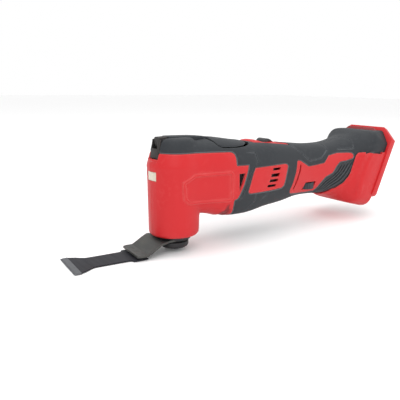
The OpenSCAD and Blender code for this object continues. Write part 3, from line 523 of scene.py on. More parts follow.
def makeSkin():
    bm = bmesh.new()
    rings = [[bm.verts.new(place(x, h, y)) for x, y, h in section] for section in skinSections()]
    for first, second in zip(rings, rings[1:]):
        for k in range(len(first) - 1):
            bm.faces.new((first[k], first[k + 1], second[k + 1], second[k]))
    ops.remove_doubles(bm, verts=bm.verts, dist=0.00002)
    ops.dissolve_degenerate(bm, edges=bm.edges, dist=0.00001)
    return bm


# Outlines in side view (x, h)
softOutline = pairs(
    -40, 77.0, 10, 76.6, 29.2, 76.3, 44.5, 75.9, 47.6, 75.3, 49.8, 73.6, 50.8, 70.5, 51.2, 63.4, 52.0, 62.6,
    65.6, 62.3, 64.8, 58, 63.6, 54, 60.5, 44.4, 57.0, 37.3, 53.8, 31.4, 52.6, 30.6, 50.4, 30.2, 49.6, 28.8,
    50.2, 22, 52.0, 16, 53.0, -20, 190, -20, 191, 10, 194.5, 16.5, 197.9, 18.3, 201.4, 20, 207.7, 22.5,
    215.6, 27.3, 222.6, 33.8, 226.1, 39.6, 229.1, 46.9, 231.4, 52.6, 234.0, 57.7, 236.8, 60.2, 243.4, 60.6,
    330, 60.6, 330, 120, -40, 120)
ventPanel = pairs(
    74.4, 58.9, 95.2, 59.1, 116.8, 59.2, 119.8, 58.2, 120.7, 56.4, 119.4, 51.0, 116.9, 40.6, 115.2, 36.8,
    112.1, 34.9, 96.9, 34.2, 70.0, 34.2, 67.0, 34.9, 66.2, 36.5, 68.5, 43.6, 72.0, 54.4)
gripPanel = pairs(
    136.9, 59.6, 138.6, 60.6, 142.7, 59.8, 156.7, 52.4, 170.0, 52.8, 182.9, 53.9, 191.2, 61.4, 205.6, 63.4,
    220.8, 62.9, 227.2, 62.3, 229.9, 60.4, 230.2, 58.0, 228.5, 56.2, 218.6, 54.2, 208.5, 53.6, 203.6, 49.8,
    196.8, 41.7, 186.5, 38.3, 181.6, 34.0, 178.4, 30.3, 175.6, 24.9, 174.3, 22.6, 160.9, 22.3, 145.2, 23.6,
    131.8, 25.4, 129.0, 27.2, 127.6, 30.0, 131.2, 38.9, 134.5, 48.0)
plateOuter = pairs(
    -6.3, 51.5, 6.5, 58.4, 44.8, 58.4, 47.2, 56.2, 47.4, 31.6, 45, 29.4, 1.3, 30.8, -4.7, 35.8)
plateInner = pairs(
    -3.2, 50.4, 7.3, 55.8, 43.0, 55.8, 44.7, 54.3, 44.9, 33.4, 43.5, 32, 2.3, 33.4, -1.9, 36.9)
gripFlutes = [pairs(134.5, 76.8, 142.8, 70.4, 147.8, 65.7, 158.5, 58.3, 167.9, 58.8, 178.4, 59.9,
                    184.7, 63.4, 191.3, 67.2, 192.0, 72.5),
              pairs(208.4, 67.0, 219.5, 66.8, 229.9, 66.6, 232.2, 67.8, 233.4, 70.5),
              [(234.6, 77.7), (234.7, 73.5)]]
facetLines = [pairs(66.5, 74.0, 75.6, 73.3, 76.2, 69.8, 77.0, 65.6),
              pairs(75.8, 32.6, 75.7, 29.3, 74.3, 24.8, 70.3, 20.5, 67.0, 12.5),
              pairs(57.6, 31.6, 63.0, 41.7, 68.0, 53.6, 74.0, 62.0), [(93.5, 32.6), (85.8, 27.2)]]
ribLines = [pairs(210.5, 49.0, 205.1, 42.4, 197.4, 37.2, 187.3, 32.2, 181.4, 25.0),
            pairs(215.5, 49.4, 209.6, 42.0, 201.4, 35.8, 190.8, 30.3, 184.9, 23.9),
            pairs(220.5, 49.8, 214.1, 41.7, 205.3, 34.3, 194.2, 28.4, 188.4, 22.8),
            pairs(225.4, 49.6, 219.0, 41.0, 210.6, 32.4, 199.0, 26.6, 193.0, 21.4),
            pairs(222.8, 37.6, 216.5, 30.3, 209.0, 25.0, 202.2, 21.6)]
panelGroove = pairs(142.4, 55.1, 141.2, 48.6, 138.5, 42.1, 135.6, 36.2, 133.6, 31.2)
footFlutes = [pairs(247.5, 59.6, 240.3, 46.8, 234.4, 32.4, 233.1, 20.0)]
stemEnd = 29.2
leverEdge = pairs(
    29.5, 120, 29.5, 88.2, 31.4, 87.0, 33.0, 84.4, 34.6, 81.9, 38.4, 80.0, 55.8, 79.4, 66.6, 79.7,
    74.9, 80.9, 79.5, 81.8, 80.2, 120)
ventSlots = [pairs(98.8, 56.7, 110.3, 56.4, 108.3, 54.1, 97.8, 54.2),
             pairs(96.3, 50.9, 108.5, 50.8, 106.8, 47.5, 95.6, 47.8),
             pairs(94.5, 45.5, 106.6, 45.1, 105.3, 42.6, 93.4, 42.7),
             pairs(92.0, 40.2, 103.7, 40.1, 102.5, 37.5, 90.6, 37.8)]
triangleVent = pairs(54.3, 54.9, 61.6, 55.0, 60.6, 50.2, 55.0, 37.5)
dialWindow = pairs(153.2, 35.2, 171.0, 34.8, 169.6, 26.2, 150.0, 27.0)
screwSpots = pairs(37.1, 69.9, 100.7, 29.4, 142.9, 64.5, 184.7, 67.0)
screwRings = [[(x + 3.4 * math.cos(math.pi * k / 8), h + 3.4 * math.sin(math.pi * k / 8)) for k in range(16)]
              for x, h in screwSpots]
notchOutline = pairs(37.5, 13.5, 44.8, 25.6, 47.4, 10.0, 46, 4, 38, 8)
slotHalf = 7.4
stemHalf = 6.7
lampHole = {"half": 7.4, "low": 51.8, "high": 60.2}
bezelHole = {"x0": 86.6, "x1": 138.2, "half": 12.0}


def segments(points, closed):
    ends = points[1:] + points[:1] if closed else points[1:]
    return list(zip(points, ends))


def toLine(p, points, closed):
    best = np.full(len(p), 1e9)
    for a, b in segments(points, closed):
        a, d = np.array(a, float), np.array(b, float) - np.array(a, float)
        t = np.clip(((p - a) @ d) / (d @ d), 0, 1)
        best = np.minimum(best, np.hypot(*(p - a - t[:, None] * d).T))
    return best


def inside(p, points):
    result = np.zeros(len(p), bool)
    for (x0, h0), (x1, h1) in segments(points, True):
        if h0 == h1:
            continue
        crosses = (h0 > p[:, 1]) != (h1 > p[:, 1])
        result ^= crosses & (p[:, 0] < (x1 - x0) * (p[:, 1] - h0) / (h1 - h0) + x0)
    return result


def signed(p, points):
    return np.where(inside(p, points), 1.0, -1.0) * toLine(p, points, True)


def offsetLine(points, d, closed):
    out = []
    count = len(points)
    for i in range(count):
        here = np.array(points[i], float)
        before = np.array(points[i - 1], float) if closed or i else None
        after = np.array(points[(i + 1) % count], float) if closed or i < count - 1 else None
        normals = []
        for a, b in ((before, here), (here, after)):
            if a is not None and b is not None:
                v = (b - a) / np.hypot(*(b - a))
                normals.append(np.array([v[1], -v[0]]))
        mean = sum(normals) / len(normals)
        out.append(tuple(here + mean * d / max(mean @ mean, 0.35)))
    return out


def smooth(t):
    t = np.clip(t, 0, 1)
    return t * t * (3 - 2 * t)


def groove(distance, half, depth):
    return -depth * (1 - smooth(distance / half))


binSize = 6.0
hair = 0.00001


def cutFaces(bm, near, at, normal):
    edges = {edge for face in near for edge in face.edges}
    verts = {vert for face in near for vert in face.verts}
    ops.bisect_plane(bm, geom=near + list(edges) + list(verts), dist=hair, plane_co=at, plane_no=normal)


def markBins(bm, layer):
    for face in bm.faces:
        face[layer] = int((face.calc_center_median().x / mm + 60) // binSize)


def bisectAlong(bm, layer, points, closed, test=None, reach=0.5):
    for a, b in segments(points, closed):
        if math.dist(a, b) < 0.05:
            continue
        low, high = min(a[0], b[0]) - reach, max(a[0], b[0]) + reach
        bottom, top = min(a[1], b[1]) - reach + rimDrop, max(a[1], b[1]) + reach + rimDrop
        first, last = int((low - 8 + 60) // binSize), int((high + 8 + 60) // binSize)
        near = []
        for face in bm.faces:
            if not first <= face[layer] <= last:
                continue
            xs, zs = [v.co.x / mm for v in face.verts], [v.co.z / mm for v in face.verts]
            if max(xs) < low or min(xs) > high or max(zs) < bottom or min(zs) > top:
                continue
            if test is None or test(face):
                near.append(face)
        if near:
            cutFaces(bm, near, place(*a), Vector((b[1] - a[1], 0, a[0] - b[0])).normalized())


def bisectPlane(bm, test, at, normal):
    cutFaces(bm, [face for face in bm.faces if test(face.calc_center_median() / mm)], at, normal)


def isSide(face):
    return abs(face.calc_center_median().y) > 0.012


def cutSkin(bm):
    layer = bm.faces.layers.int.new("bin")
    markBins(bm, layer)
    across, along, up = (0, 1, 0), (1, 0, 0), (0, 0, 1)
    for h in (lampHole["low"], lampHole["high"]):
        for d in (-0.5, 0, 0.5):
            bisectPlane(bm, lambda c: c.x < -18, place(0, h + d), up)
    for d in (-0.5, 0, 0.5):
        bisectPlane(bm, lambda c: c.x < -18, place(0, 0, -lampHole["half"] + d), across)
    for y in (slotHalf, stemHalf):
        bisectPlane(bm, lambda c: c.z > 75 and c.x < 34, place(0, 0, -y), across)
    bisectPlane(bm, lambda c: c.x < -3 and c.z > 70, place(0, 71), up)
    for d in (0, 0.7):
        bisectPlane(bm, lambda c: c.z > 70 and 80 < c.x < 152, place(0, 0, -bezelHole["half"] - d), across)
        for x in (bezelHole["x0"] - d, bezelHole["x1"] + d):
            bisectPlane(bm, lambda c: c.z > 70 and abs(c.y) < 14, place(x, 0), along)
    bisectPlane(bm, lambda c: abs(c.y) < 4, place(0, 0, -0.5), across)
    # lines, how far to their sides they are cut, closed or not, side faces only or all
    jobs = [([softOutline[:-3]], (-1.1, -0.4, 0.0, 0.4, 1.1), False, None),
            ([ventPanel], (-1.1, -0.4, 0.0, 0.4, 1.1), True, isSide),
            ([gripPanel], (-1.1, -0.4, 0.0, 0.4, 1.1), True, isSide),
            ([plateOuter, plateInner], (-0.35, 0.35), True, isSide),
            (gripFlutes + facetLines, (-0.75, -0.25, 0.25, 0.75), False, None),
            (ribLines, (-1.6, -0.7, 0.7, 1.6), False, None),
            ([panelGroove], (-1.3, -0.9, 0.9, 1.3), False, isSide),
            (footFlutes, (-3.5, -1.2, 0.0, 1.2), False, isSide),
            (screwRings, (0.0,), True, isSide),
            (ventSlots + [triangleVent, dialWindow], (0.45, 0.0), True, isSide),
            ([leverEdge], (-1.3, -0.65, 0.65), False, None),
            ([notchOutline], (0.0, 0.5), True, None)]
    for lines, distances, closed, test in jobs:
        for line in lines:
            for d in distances:
                bisectAlong(bm, layer, offsetLine(line, d, closed), closed, test)


# Distance to the nearest panel border, the soft parts, and everything within the soft outline
def softParts(p):
    softIn = inside(p, softOutline)
    vent, grip = signed(p, ventPanel), signed(p, gripPanel)
    border = np.minimum(np.minimum(toLine(p, softOutline, True), np.abs(vent)), np.abs(grip))
    return border, softIn & (vent < 0) & (grip < 0), softIn


def reliefOf(p, y):
    border, isSoft, softIn = softParts(p)
    out = groove(border, 0.55, 0.55) + np.where(isSoft, 0.35 * smooth((border - 0.3) / 0.9), 0.0)
    frameBand = np.minimum(signed(p, plateOuter), -signed(p, plateInner))
    out += 0.8 * smooth((frameBand + 0.35) / 0.7)
    for line in gripFlutes + facetLines:
        out += groove(np.maximum(toLine(p, line, False) - 0.25, 0), 0.5, 0.9)
    ribs = np.zeros(len(p))
    for line in ribLines:
        ribs = np.minimum(ribs, groove(np.maximum(toLine(p, line, False) - 0.7, 0), 0.9, 1.6))
    out += np.where(isSoft, ribs, 0)
    out += groove(np.maximum(toLine(p, panelGroove, False) - 0.9, 0), 0.45, 1.6)
    for line in footFlutes:
        d = toLine(p, line, False)
        out += np.where(~softIn, 0.7 * np.exp(-(d / 2.4) ** 2) - 0.3 * np.exp(-((d - 5) / 2.0) ** 2), 0)
    for outline in ventSlots + [triangleVent]:
        out += groove(toLine(p, outline, True), 0.5, 0.35)
    out += -2.2 * smooth(signed(p, notchOutline) / 2.6) * (p[:, 1] < 27)
    return out + groove(np.abs(y), 0.5, 0.4)


# Painted highlights along panel borders, flutes, rib edges and the plate frame (positive) and painted shade
# in the rib grooves, the panel groove and the notch recess (negative)
def paintedLightOf(p):
    border, isSoft, _ = softParts(p)
    out = np.where(isSoft, 0.9, 0.35) * np.exp(-((border - 0.4) / 0.22) ** 2)
    for line in gripFlutes + facetLines:
        weight = 0.35 if line is facetLines[2] else 0.85
        out += weight * np.exp(-(toLine(p, line, False) / 0.5) ** 2)
    for line in ribLines:
        d = toLine(p, line, False)
        # rib edges get a painted highlight, rib groove centres get painted shade
        out += np.where(isSoft, 0.35 * np.exp(-((d - 1.6) / 0.3) ** 2) - 0.8 * np.exp(-(d / 0.8) ** 2), 0)
    # painted shade along the panel groove and in the notch recess
    out -= 1.0 * (toLine(p, panelGroove, False) < 1.0)
    out -= 0.8 * ((signed(p, notchOutline) > -0.1) & (p[:, 1] < 27))
    # painted highlight along the plate frame lines
    frame = np.minimum(np.abs(signed(p, plateOuter)), np.abs(signed(p, plateInner)))
    out += 0.35 * np.exp(-(frame / 0.4) ** 2)
    return np.clip(out, -1, 1)


def isLever(p, y):
    paddle = inside(p, leverEdge) & (p[:, 1] > 60)
    return paddle | ((p[:, 0] < stemEnd) & (np.abs(y) < stemHalf + 0.35) & (p[:, 1] > 70))


# Columns x, h and the separate y, all in mm
def sideView(points):
    points = np.array(points)
    return np.column_stack((points[:, 0] / mm, points[:, 2] / mm - rimDrop)), points[:, 1] / mm


def carve(bm):
    bm.normal_update()
    p, y = sideView([v.co for v in bm.verts])
    normals = np.array([v.normal for v in bm.verts])
    normals[np.abs(y) < 0.01, 1] = 0
    # Per-vertex painted highlight (positive) and painted shade (negative) for the moulded shader
    layer = bm.verts.layers.float.new("paintedLight")
    crowned = 1.7 * (1 - np.clip(np.abs(y) / 24, 0, 1) ** 2) - 0.2
    crowned += groove(toLine(p, leverEdge, False) - 0.65, 0.7, 0.5)
    relief = np.where(isLever(p, y), crowned, reliefOf(p, y))
    for vert, normal, amount, paintedLight in zip(bm.verts, normals, relief, paintedLightOf(p)):
        vert.co += Vector(normal) * float(amount) * mm
        vert[layer] = float(paintedLight)


# Face labels: 0 red shell, 1 soft grip, 2 lever paddle, 8 dial window, 9 openings, 10 and 11 screw wells
def sortFaces(bm):
    p, y = sideView([f.calc_center_median() for f in bm.faces])
    x, h, side = p[:, 0], p[:, 1], np.abs(y)
    label = np.where(inside(p, softOutline) & ~inside(p, ventPanel) & ~inside(p, gripPanel), 1, 0)
    label[inside(p, leverEdge) & (h > 60)] = 2
    label[(toLine(p, leverEdge, False) < 0.64) & (h > 76) & (h < 110)] = 9
    label[(x < stemEnd) & (side < slotHalf) & (h > 71)] = 9
    label[(x > bezelHole["x0"]) & (x < bezelHole["x1"]) & (side < bezelHole["half"]) & (h > 60)] = 9
    label[(x < -15) & (side < lampHole["half"]) & (h > lampHole["low"]) & (h < lampHole["high"])] = 9
    for outline in ventSlots + [triangleVent]:
        label[inside(p, outline) & (side > 12)] = 9
    label[inside(p, dialWindow) & (side > 12)] = 8
    for outline in screwRings:
        label[inside(p, outline) & (side > 12)] += 10
    return label


# Gives an open skin its thickness: an inner copy and walls along every open edge
def shell(bm, thickness):
    tidyNormals(bm)
    bm.normal_update()
    outer = list(bm.faces)
    axis = Vector((0, 0.05))
    if sum(f.normal.yz.dot(f.calc_center_median().yz - axis) for f in outer) < 0:
        ops.reverse_faces(bm, faces=outer)
        bm.normal_update()
    rims = [edge for edge in bm.edges if len(edge.link_faces) == 1]
    twin = {vert: bm.verts.new(vert.co - vert.normal * thickness * mm) for vert in list(bm.verts)}
    for face in outer:
        bm.faces.new([twin[v] for v in reversed(face.verts)])
    for edge in rims:
        loop = next(l for l in edge.link_loops if l.face in set(edge.link_faces))
        a, b = loop.vert, loop.link_loop_next.vert
        bm.faces.new((b, a, twin[a], twin[b]))
    return bm


def keepFaces(bm, labels, keep):
    copy = bm.copy()
    copy.faces.ensure_lookup_table()
    doomed = [face for face, label in zip(copy.faces, labels) if label not in keep]
    ops.delete(copy, geom=doomed, context="FACES")
    return copy


skin = makeSkin()
print("skin made", len(skin.faces))
cutSkin(skin)
ops.remove_doubles(skin, verts=skin.verts, dist=0.00004)
ops.dissolve_degenerate(skin, edges=skin.edges, dist=0.00003)
print("skin cut", len(skin.faces))
labels = sortFaces(skin)
carve(skin)
print("skin carved")


def mirrored(bm):
    ops.scale(bm, vec=(1, -1, 1), verts=bm.verts)
    ops.reverse_faces(bm, faces=bm.faces)
    return bm


shells = [("leftHousing", "left_housing", (0, 10), redPlastic, 2.4, "red_plastic"),
          ("rightHousing", "right_housing", (0, 8), redPlastic, 2.4, "red_plastic"),
          ("leftOvermold", "left_overmold", (1, 11), gripRubber, 2.0, "grip_rubber"),
          ("rightOvermold", "right_overmold", (1,), gripRubber, 2.0, "grip_rubber")]
for name, replaced, keep, material, thickness, slotName in shells:
    half = keepFaces(skin, labels, keep)
    if name.startswith("right"):
        mirrored(half)
    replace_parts(linkPiece(name, shell(half, thickness), [material], "root"), replaced)
print("housings made")


def pushOut(bm, face, way):
    made = ops.extrude_face_region(bm, geom=[face])
    moved = [v for v in made["geom"] if isinstance(v, bmesh.types.BMVert)]
    ops.translate(bm, verts=moved, vec=way)
    tidyNormals(bm)
    return bm


def prism(outline, y0, y1, bevel, segments=2):
    bm = bmesh.new()
    face = bm.faces.new([bm.verts.new(place(x, h, y0)) for x, h in outline])
    pushOut(bm, face, (0, (y1 - y0) * mm, 0))
    roundEdges(bm, bevel, segments)
    return bm


def roundEdges(bm, width, segments=2, angle=24.0):
    edges = [e for e in bm.edges if len(e.link_faces) == 2 and e.calc_face_angle(0.0) > math.radians(angle)]
    ops.bevel(bm, geom=edges, offset=width * mm, offset_type="OFFSET", segments=segments, profile=0.5,
                    affect="EDGES", clamp_overlap=True, material=-1)


def turned(profile, steps):
    bm = bmesh.new()
    verts = [bm.verts.new((r * mm, 0, z * mm)) for r, z in profile]
    edges = [bm.edges.new(pair) for pair in zip(verts, verts[1:] + verts[:1])]
    ops.spin(bm, geom=verts + edges, axis=(0, 0, 1), cent=(0, 0, 0), steps=steps,
                   angle=math.tau, use_duplicate=False)
    ops.remove_doubles(bm, verts=bm.verts, dist=hair)
    return bm


def boxBetween(low, high, bevel):
    bm = bmesh.new()
    ops.create_cube(bm, size=1.0)
    middle = [(a + b) / 2 * mm for a, b in zip(low, high)]
    ops.scale(bm, vec=[(b - a) * mm for a, b in zip(low, high)], verts=bm.verts)
    ops.translate(bm, vec=middle, verts=bm.verts)
    roundEdges(bm, bevel)
    return bm


def plateFrom(outline, z0, z1):
    bm = bmesh.new()
    face = bm.faces.new([bm.verts.new(Vector((x, y, z0)) * mm) for x, y in outline])
    return pushOut(bm, face, (0, 0, (z1 - z0) * mm))


# Closes the side faces between rings of equal length
def joinRings(bm, rings, closed=True):
    for first, second in zip(rings, rings[1:]):
        for k in range(len(first) - (not closed)):
            j = (k + 1) % len(first)
            bm.faces.new((first[k], first[j], second[j], second[k]))


# Release lever
lever = {"halfWidth": 4.3, "stemHalf": 6.5, "stemFront": -8.8, "thick": 2.4, "wellDrop": 5.6,
         "wellThick": 1.2}


# The skin under the paddle, both halves joined
def wholePaddle():
    left = keepFaces(skin, labels, (2,))
    right = mirrored(left.copy())
    mesh = bpy.data.meshes.new("paddleHalf")
    right.to_mesh(mesh)
    left.from_mesh(mesh)
    bpy.data.meshes.remove(mesh)
    right.free()
    ops.remove_doubles(left, verts=left.verts, dist=0.00003)
    return left


def makeLever():
    nose = prism(pairs(-18.7, 88.6, -18.4, 84.6, -16.6, 80.3, -14, 79.6, -10.5, 80.8, -8.6, 83.6,
                       -8.0, 90.6, -17.6, 90.4), -lever["halfWidth"], lever["halfWidth"], 0.5)
    linkPiece("leverNose", nose, [nosePlastic], "lever")
    front, half = lever["stemFront"], lever["stemHalf"]
    stem = prism([(front, 90.9), (front, 87.4), (26, 85.2), (35.5, 82.6), (37.6, 84.2), (36.8, 88.4),
                  (28, 89.5), (18, 90.3), (1, 90.8)], -half, half, 0.9, 3)
    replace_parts(linkPiece("leverStem", stem, [gripRubber], "lever"), "release_lever")
    paddle = shell(wholePaddle(), lever["thick"])
    linkPiece("leverPaddle", paddle, [gripRubber], "lever")


# Dark upright guard round the nose of the lever, open at its top middle
guard = {"outer": 6.9, "inner": 4.45, "low": 71.7, "sill": 80.3, "top": 88.4, "thick": 1.6, "edge": 0.9,
         "front": ((71.7, -22.0), (88.4, -19.2))}


def makeGuard(g):
    half = [(g["outer"], g["low"]), (g["outer"], g["top"]), (g["inner"], g["top"]), (g["inner"], g["sill"])]
    outline = [(-half[0][0], half[0][1])] + half + [(-y, h) for y, h in reversed(half[1:])]
    bm = bmesh.new()
    rings = []
    for depth in (0.0, g["thick"]):
        ring = []
        for y, h in outline:
            edge = g["edge"] if abs(y) > g["inner"] + 0.1 and depth == 0 else 0.0
            ring.append(bm.verts.new(place(interp(g["front"], h) + edge + depth, h, y)))
        rings.append(ring)
    joinRings(bm, rings)
    for ring in rings:
        for corners in ((0, 1, 4, 5), (1, 2, 3, 4), (0, 5, 6, 7)):
            bm.faces.new([ring[c] for c in corners])
    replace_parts(linkPiece("noseGuard", bm, [nosePlastic], "root"), "front_guard")


# Floor and walls of the hollow that the paddle closes
def makeWell():
    bm = wholePaddle()
    tidyNormals(bm)
    bm.normal_update()
    away = {v: v.normal.copy() for v in bm.verts}
    way = -1 if sum(n.z for n in away.values()) < 0 else 1
    for vert, normal in away.items():
        vert.co -= normal * way * lever["wellDrop"] * mm
    linkPiece("leverWell", shell(bm, lever["wellThick"]), [blackPlastic], "root")


makeLever()
makeGuard(guard)
makeWell()
print("lever made")


# Switch bezel and knob
bezelTop = pairs(
    86.8, 80.4, 88.5, 82.0, 91.5, 83.0, 95, 82.6, 99, 81.4, 104, 80.2, 123, 79.2, 132, 78.2, 134, 77.7,
    136.4, 76.9, 138.0, 75.0)
bezel = {"x0": 86.9, "x1": 138, "half": 11.9, "crown": 1.5, "lip": 0.9, "sink": 0.8, "thick": 3.4,
         "recess": (122, 133.6, 8.3, 1.1), "hole": (101.0, 120.5, 6.3)}
knob = {"half": 6.0, "round": 1.1, "ribs": (107.2, 109.3, 111.4, 113.5), "ribHalf": 0.45, "ribDepth": 0.7}


def makeBezel(s):
    bm = bmesh.new()
    xs = [86.9, 87.6, 88.6, 90, 91.5, 93, 95, 97, 99, 100.4, 101.2, 104, 108, 112, 116, 120, 121.6, 122.2,
          125, 128, 131, 133.4, 134, 135, 136, 137, 137.6, 138]
    ys = [0, 3, 5.8, 6.6, 7.4, 8.2, 9.8, 11.2, 11.9]
    ys = [-y for y in reversed(ys[1:])] + ys
    recess, hole = s["recess"], s["hole"]
    rows = []
    for x in xs:
        row = []
        for y in ys:
            edge = min(x - s["x0"], s["x1"] - x, s["half"] - abs(y))
            h = interp(bezelTop, x) - s["crown"] * (abs(y) / s["half"]) ** 2.6 * (1 if 90 < x < 134 else 0.6)
            h -= s["sink"] * (1 - min(edge / s["lip"], 1.0)) ** 2
            if recess[0] < x < recess[1] and abs(y) < recess[2]:
                h -= recess[3]
            row.append(bm.verts.new(place(x, h, y)))
        rows.append(row)
    for i in range(len(xs) - 1):
        for j in range(len(ys) - 1):
            x, y = (xs[i] + xs[i + 1]) / 2, abs(ys[j] + ys[j + 1]) / 2
            if not (hole[0] < x < hole[1] and y < hole[2]):
                face = bm.faces.new((rows[i][j], rows[i + 1][j], rows[i + 1][j + 1], rows[i][j + 1]))
                # recess faces take the darkened red as painted shade
                face.material_index = int(recess[0] - 0.3 < x < recess[1] + 0.2 and y < recess[2] + 0.1)
    ops.delete(bm, geom=[v for v in bm.verts if not v.link_faces], context="VERTS")
    piece = linkPiece("switchBezel", shell(bm, s["thick"]), [redPlastic, shadedRed], "root", 40)
    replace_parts(piece, "switch_bezel")


def makeKnob(s):
    outline = pairs(105.4, 76.6, 105.6, 79.6, 106.6, 81.6, 108.4, 82.9, 110.6, 83.2, 113, 82.8, 115.4, 81.8,
                    117.4, 80.6, 118.2, 79.8, 112.2, 79.8, 112.2, 76.6)
    bm = prism(outline, -s["half"], s["half"], s["round"], 3)
    for x in s["ribs"]:
        for d in (-s["ribHalf"], s["ribHalf"], 0):
            ops.bisect_plane(bm, geom=list(bm.verts) + list(bm.edges) + list(bm.faces), dist=hair,
                                   plane_co=place(x + d, 0), plane_no=(1, 0, 0))
        for v in bm.verts:
            if abs(v.co.x / mm - x) < 0.1 and v.co.z / mm - rimDrop > 80 and abs(v.co.y) < 0.0052:
                v.co.z -= s["ribDepth"] * mm
    piece = linkPiece("switchKnob", bm, [blackPlastic], "slider")
    plate = boxBetween((98.8, -8.5, 75.4), (121.4, 8.5, 76.8), 0.3)
    linkPiece("switchPlate", plate, [blackPlastic], "slider")
    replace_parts(piece, "switch_slider")


makeBezel(bezel)
makeKnob(knob)
switchFloor = boxBetween((90, -9.4, 73.6), (136, 9.4, 74.9), 0.2)
linkPiece("switchFloor", switchFloor, [blackPlastic], "root")


lamp = {"gap": 0.25, "sunk": 0.5, "thick": 1.6, "columns": 11, "rows": 9, "dome": 2.3,
        "domeAt": (-22.4, 56, 0)}


def makeLamp(s):
    half = lampHole["half"] - s["gap"]
    heights = np.linspace(lampHole["low"] + s["gap"], lampHole["high"] - s["gap"], s["rows"])
    bm = bmesh.new()
    rows = []
    for i in range(s["columns"]):
        y = -half + 2 * half * i / (s["columns"] - 1)
        rows.append([bm.verts.new(place(-math.sqrt((headRadius(h) - s["sunk"]) ** 2 - y * y), h, y))
                     for h in heights])
    joinRings(bm, rows, False)
    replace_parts(linkPiece("lampLens", shell(bm, s["thick"]), [lensClear], "root"), "led_lens")
    dome = bmesh.new()
    middle = place(*s["domeAt"])
    ops.create_uvsphere(dome, u_segments=24, v_segments=12, radius=s["dome"] * mm)
    ops.translate(dome, verts=dome.verts, vec=middle)
    ops.scale(dome, vec=(0.6, 1, 1), space=Matrix.Translation(-middle), verts=dome.verts)
    linkPiece("lampDome", dome, [whitePlastic], "root")


makeLamp(lamp)
print("controls made")


def footPoint(n, y, s):
    tilt = math.radians(foot["tilt"])
    return place(foot["x"] + n * math.cos(tilt) + s * math.sin(tilt),
                 foot["h"] - n * math.sin(tilt) + s * math.cos(tilt), y)


def mirrorLoop(half):
    return half + [(s, -y) for s, y in reversed(half)]


def footRings(bm, loops):
    return [[bm.verts.new(footPoint(n, y, s)) for s, y in mirrorLoop(half)] for half, n in loops]


def makeRim():
    hw, top, deep = foot["hw"] - 0.05, foot["len"], -foot["rim"]
    outer = [(0, 36.2), (1.2, 38.6), (3.6, hw), (top - 14, hw), (top - 0.3, 24)]
    inner = pairs(1.6, 30.2, 2.2, 31.2, 3.2, 31.5, 62.4, 31.5, 77.2, 17.2)
    middle = pairs(0.8, 33.2, 1.6, 35, 3.4, 36, 69.0, 36, 81.6, 20.6)
    bm = bmesh.new()
    rings = footRings(bm, [(outer, deep), (outer, -0.1), (middle, -0.1), (middle, -1.1), (inner, -1.1),
                           (inner, deep)])
    joinRings(bm, rings + rings[:1])
    tidyNormals(bm)
    roundEdges(bm, 0.55)
    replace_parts(linkPiece("footRim", bm, [redPlastic], "root"), "battery_frame")


def makeTray():
    wall, depth, front = 2.0, 17.0, -4.9
    within = pairs(-0.5, 31.4, 62.2, 31.4, 77.0, 17.1)
    outside = pairs(-2.5, 33.4, 63.0, 33.4, 79.0, 18.0)
    bm = bmesh.new()
    rings = footRings(bm, [(outside, front), (outside, -depth - wall), (within, -depth), (within, front)])
    for pair in (rings[0:2], rings[2:4], [rings[3], rings[0]]):
        joinRings(bm, pair)
    bm.faces.new(rings[1])
    bm.faces.new(list(reversed(rings[2])))
    tidyNormals(bm)
    roundEdges(bm, 0.5)
    # the tray inside the bay takes the darkened red as painted shade
    linkPiece("footTray", bm, [shadedRed], "root")


# A rail on each side of the bay: depth, distance from the middle, length up the foot
rail = {"n": (-7.0, -4.0), "y": (28.0, 31.6), "s": (4.0, 60.0)}


def makeRails():
    for name, side in (("footRailLeft", -1), ("footRailRight", 1)):
        bm = bmesh.new()
        ops.create_cube(bm, size=1.0)
        for v in bm.verts:
            n, y, s = (rail[key][int(c > 0)] for key, c in zip("nys", v.co))
            v.co = footPoint(n, side * y, s)
        tidyNormals(bm)
        roundEdges(bm, 0.5)
        # the rails inside the bay take the darkened red as painted shade
        linkPiece(name, bm, [shadedRed], "root")


makeRim()
makeTray()
makeRails()
print("foot made")


# Blade and clamp
blade = {"turn": -5.2, "thick": 1.2, "plate": 2.0, "drop": 8.5, "bendStart": 20.0, "bendEnd": 35.0,
         "end": 45.0, "width": 36.0, "seat": 14.4, "neck": 25.0, "edge": 42.6, "reach": 103.0, "tip": 6.5,
         "teeth": 28, "tooth": 1.3, "weldX": -39.6, "weldY": 5.6}


def turnBlade(bm):
    turn = Matrix.Rotation(math.radians(blade["turn"]), 3, "Z")
    ops.rotate(bm, cent=(0, 0, 0), matrix=turn, verts=bm.verts)
    return bm


def bracketHeight(x):
    a, b, drop = blade["bendStart"], blade["bendEnd"], blade["drop"]
    t = min(max((-x - a + 1.5) / (b - a + 3), 0.0), 1.0)
    ease = t * t * (3 - 2 * t)
    return -drop * (0.35 * ease + 0.65 * min(max((-x - a) / (b - a), 0.0), 1.0))


def bracketHalf(x):
    half = blade["width"] / 2
    if x < -blade["end"] + 3:
        return half - max(0.0, (-blade["end"] + 3 - x)) * 0.5
    if x < -19:
        return half
    if x < -12:
        return half - (x + 19) / 7 * (half - blade["seat"])
    return math.sqrt(max(blade["seat"] ** 2 - x * x, 0.0)) if x > 0 else blade["seat"]


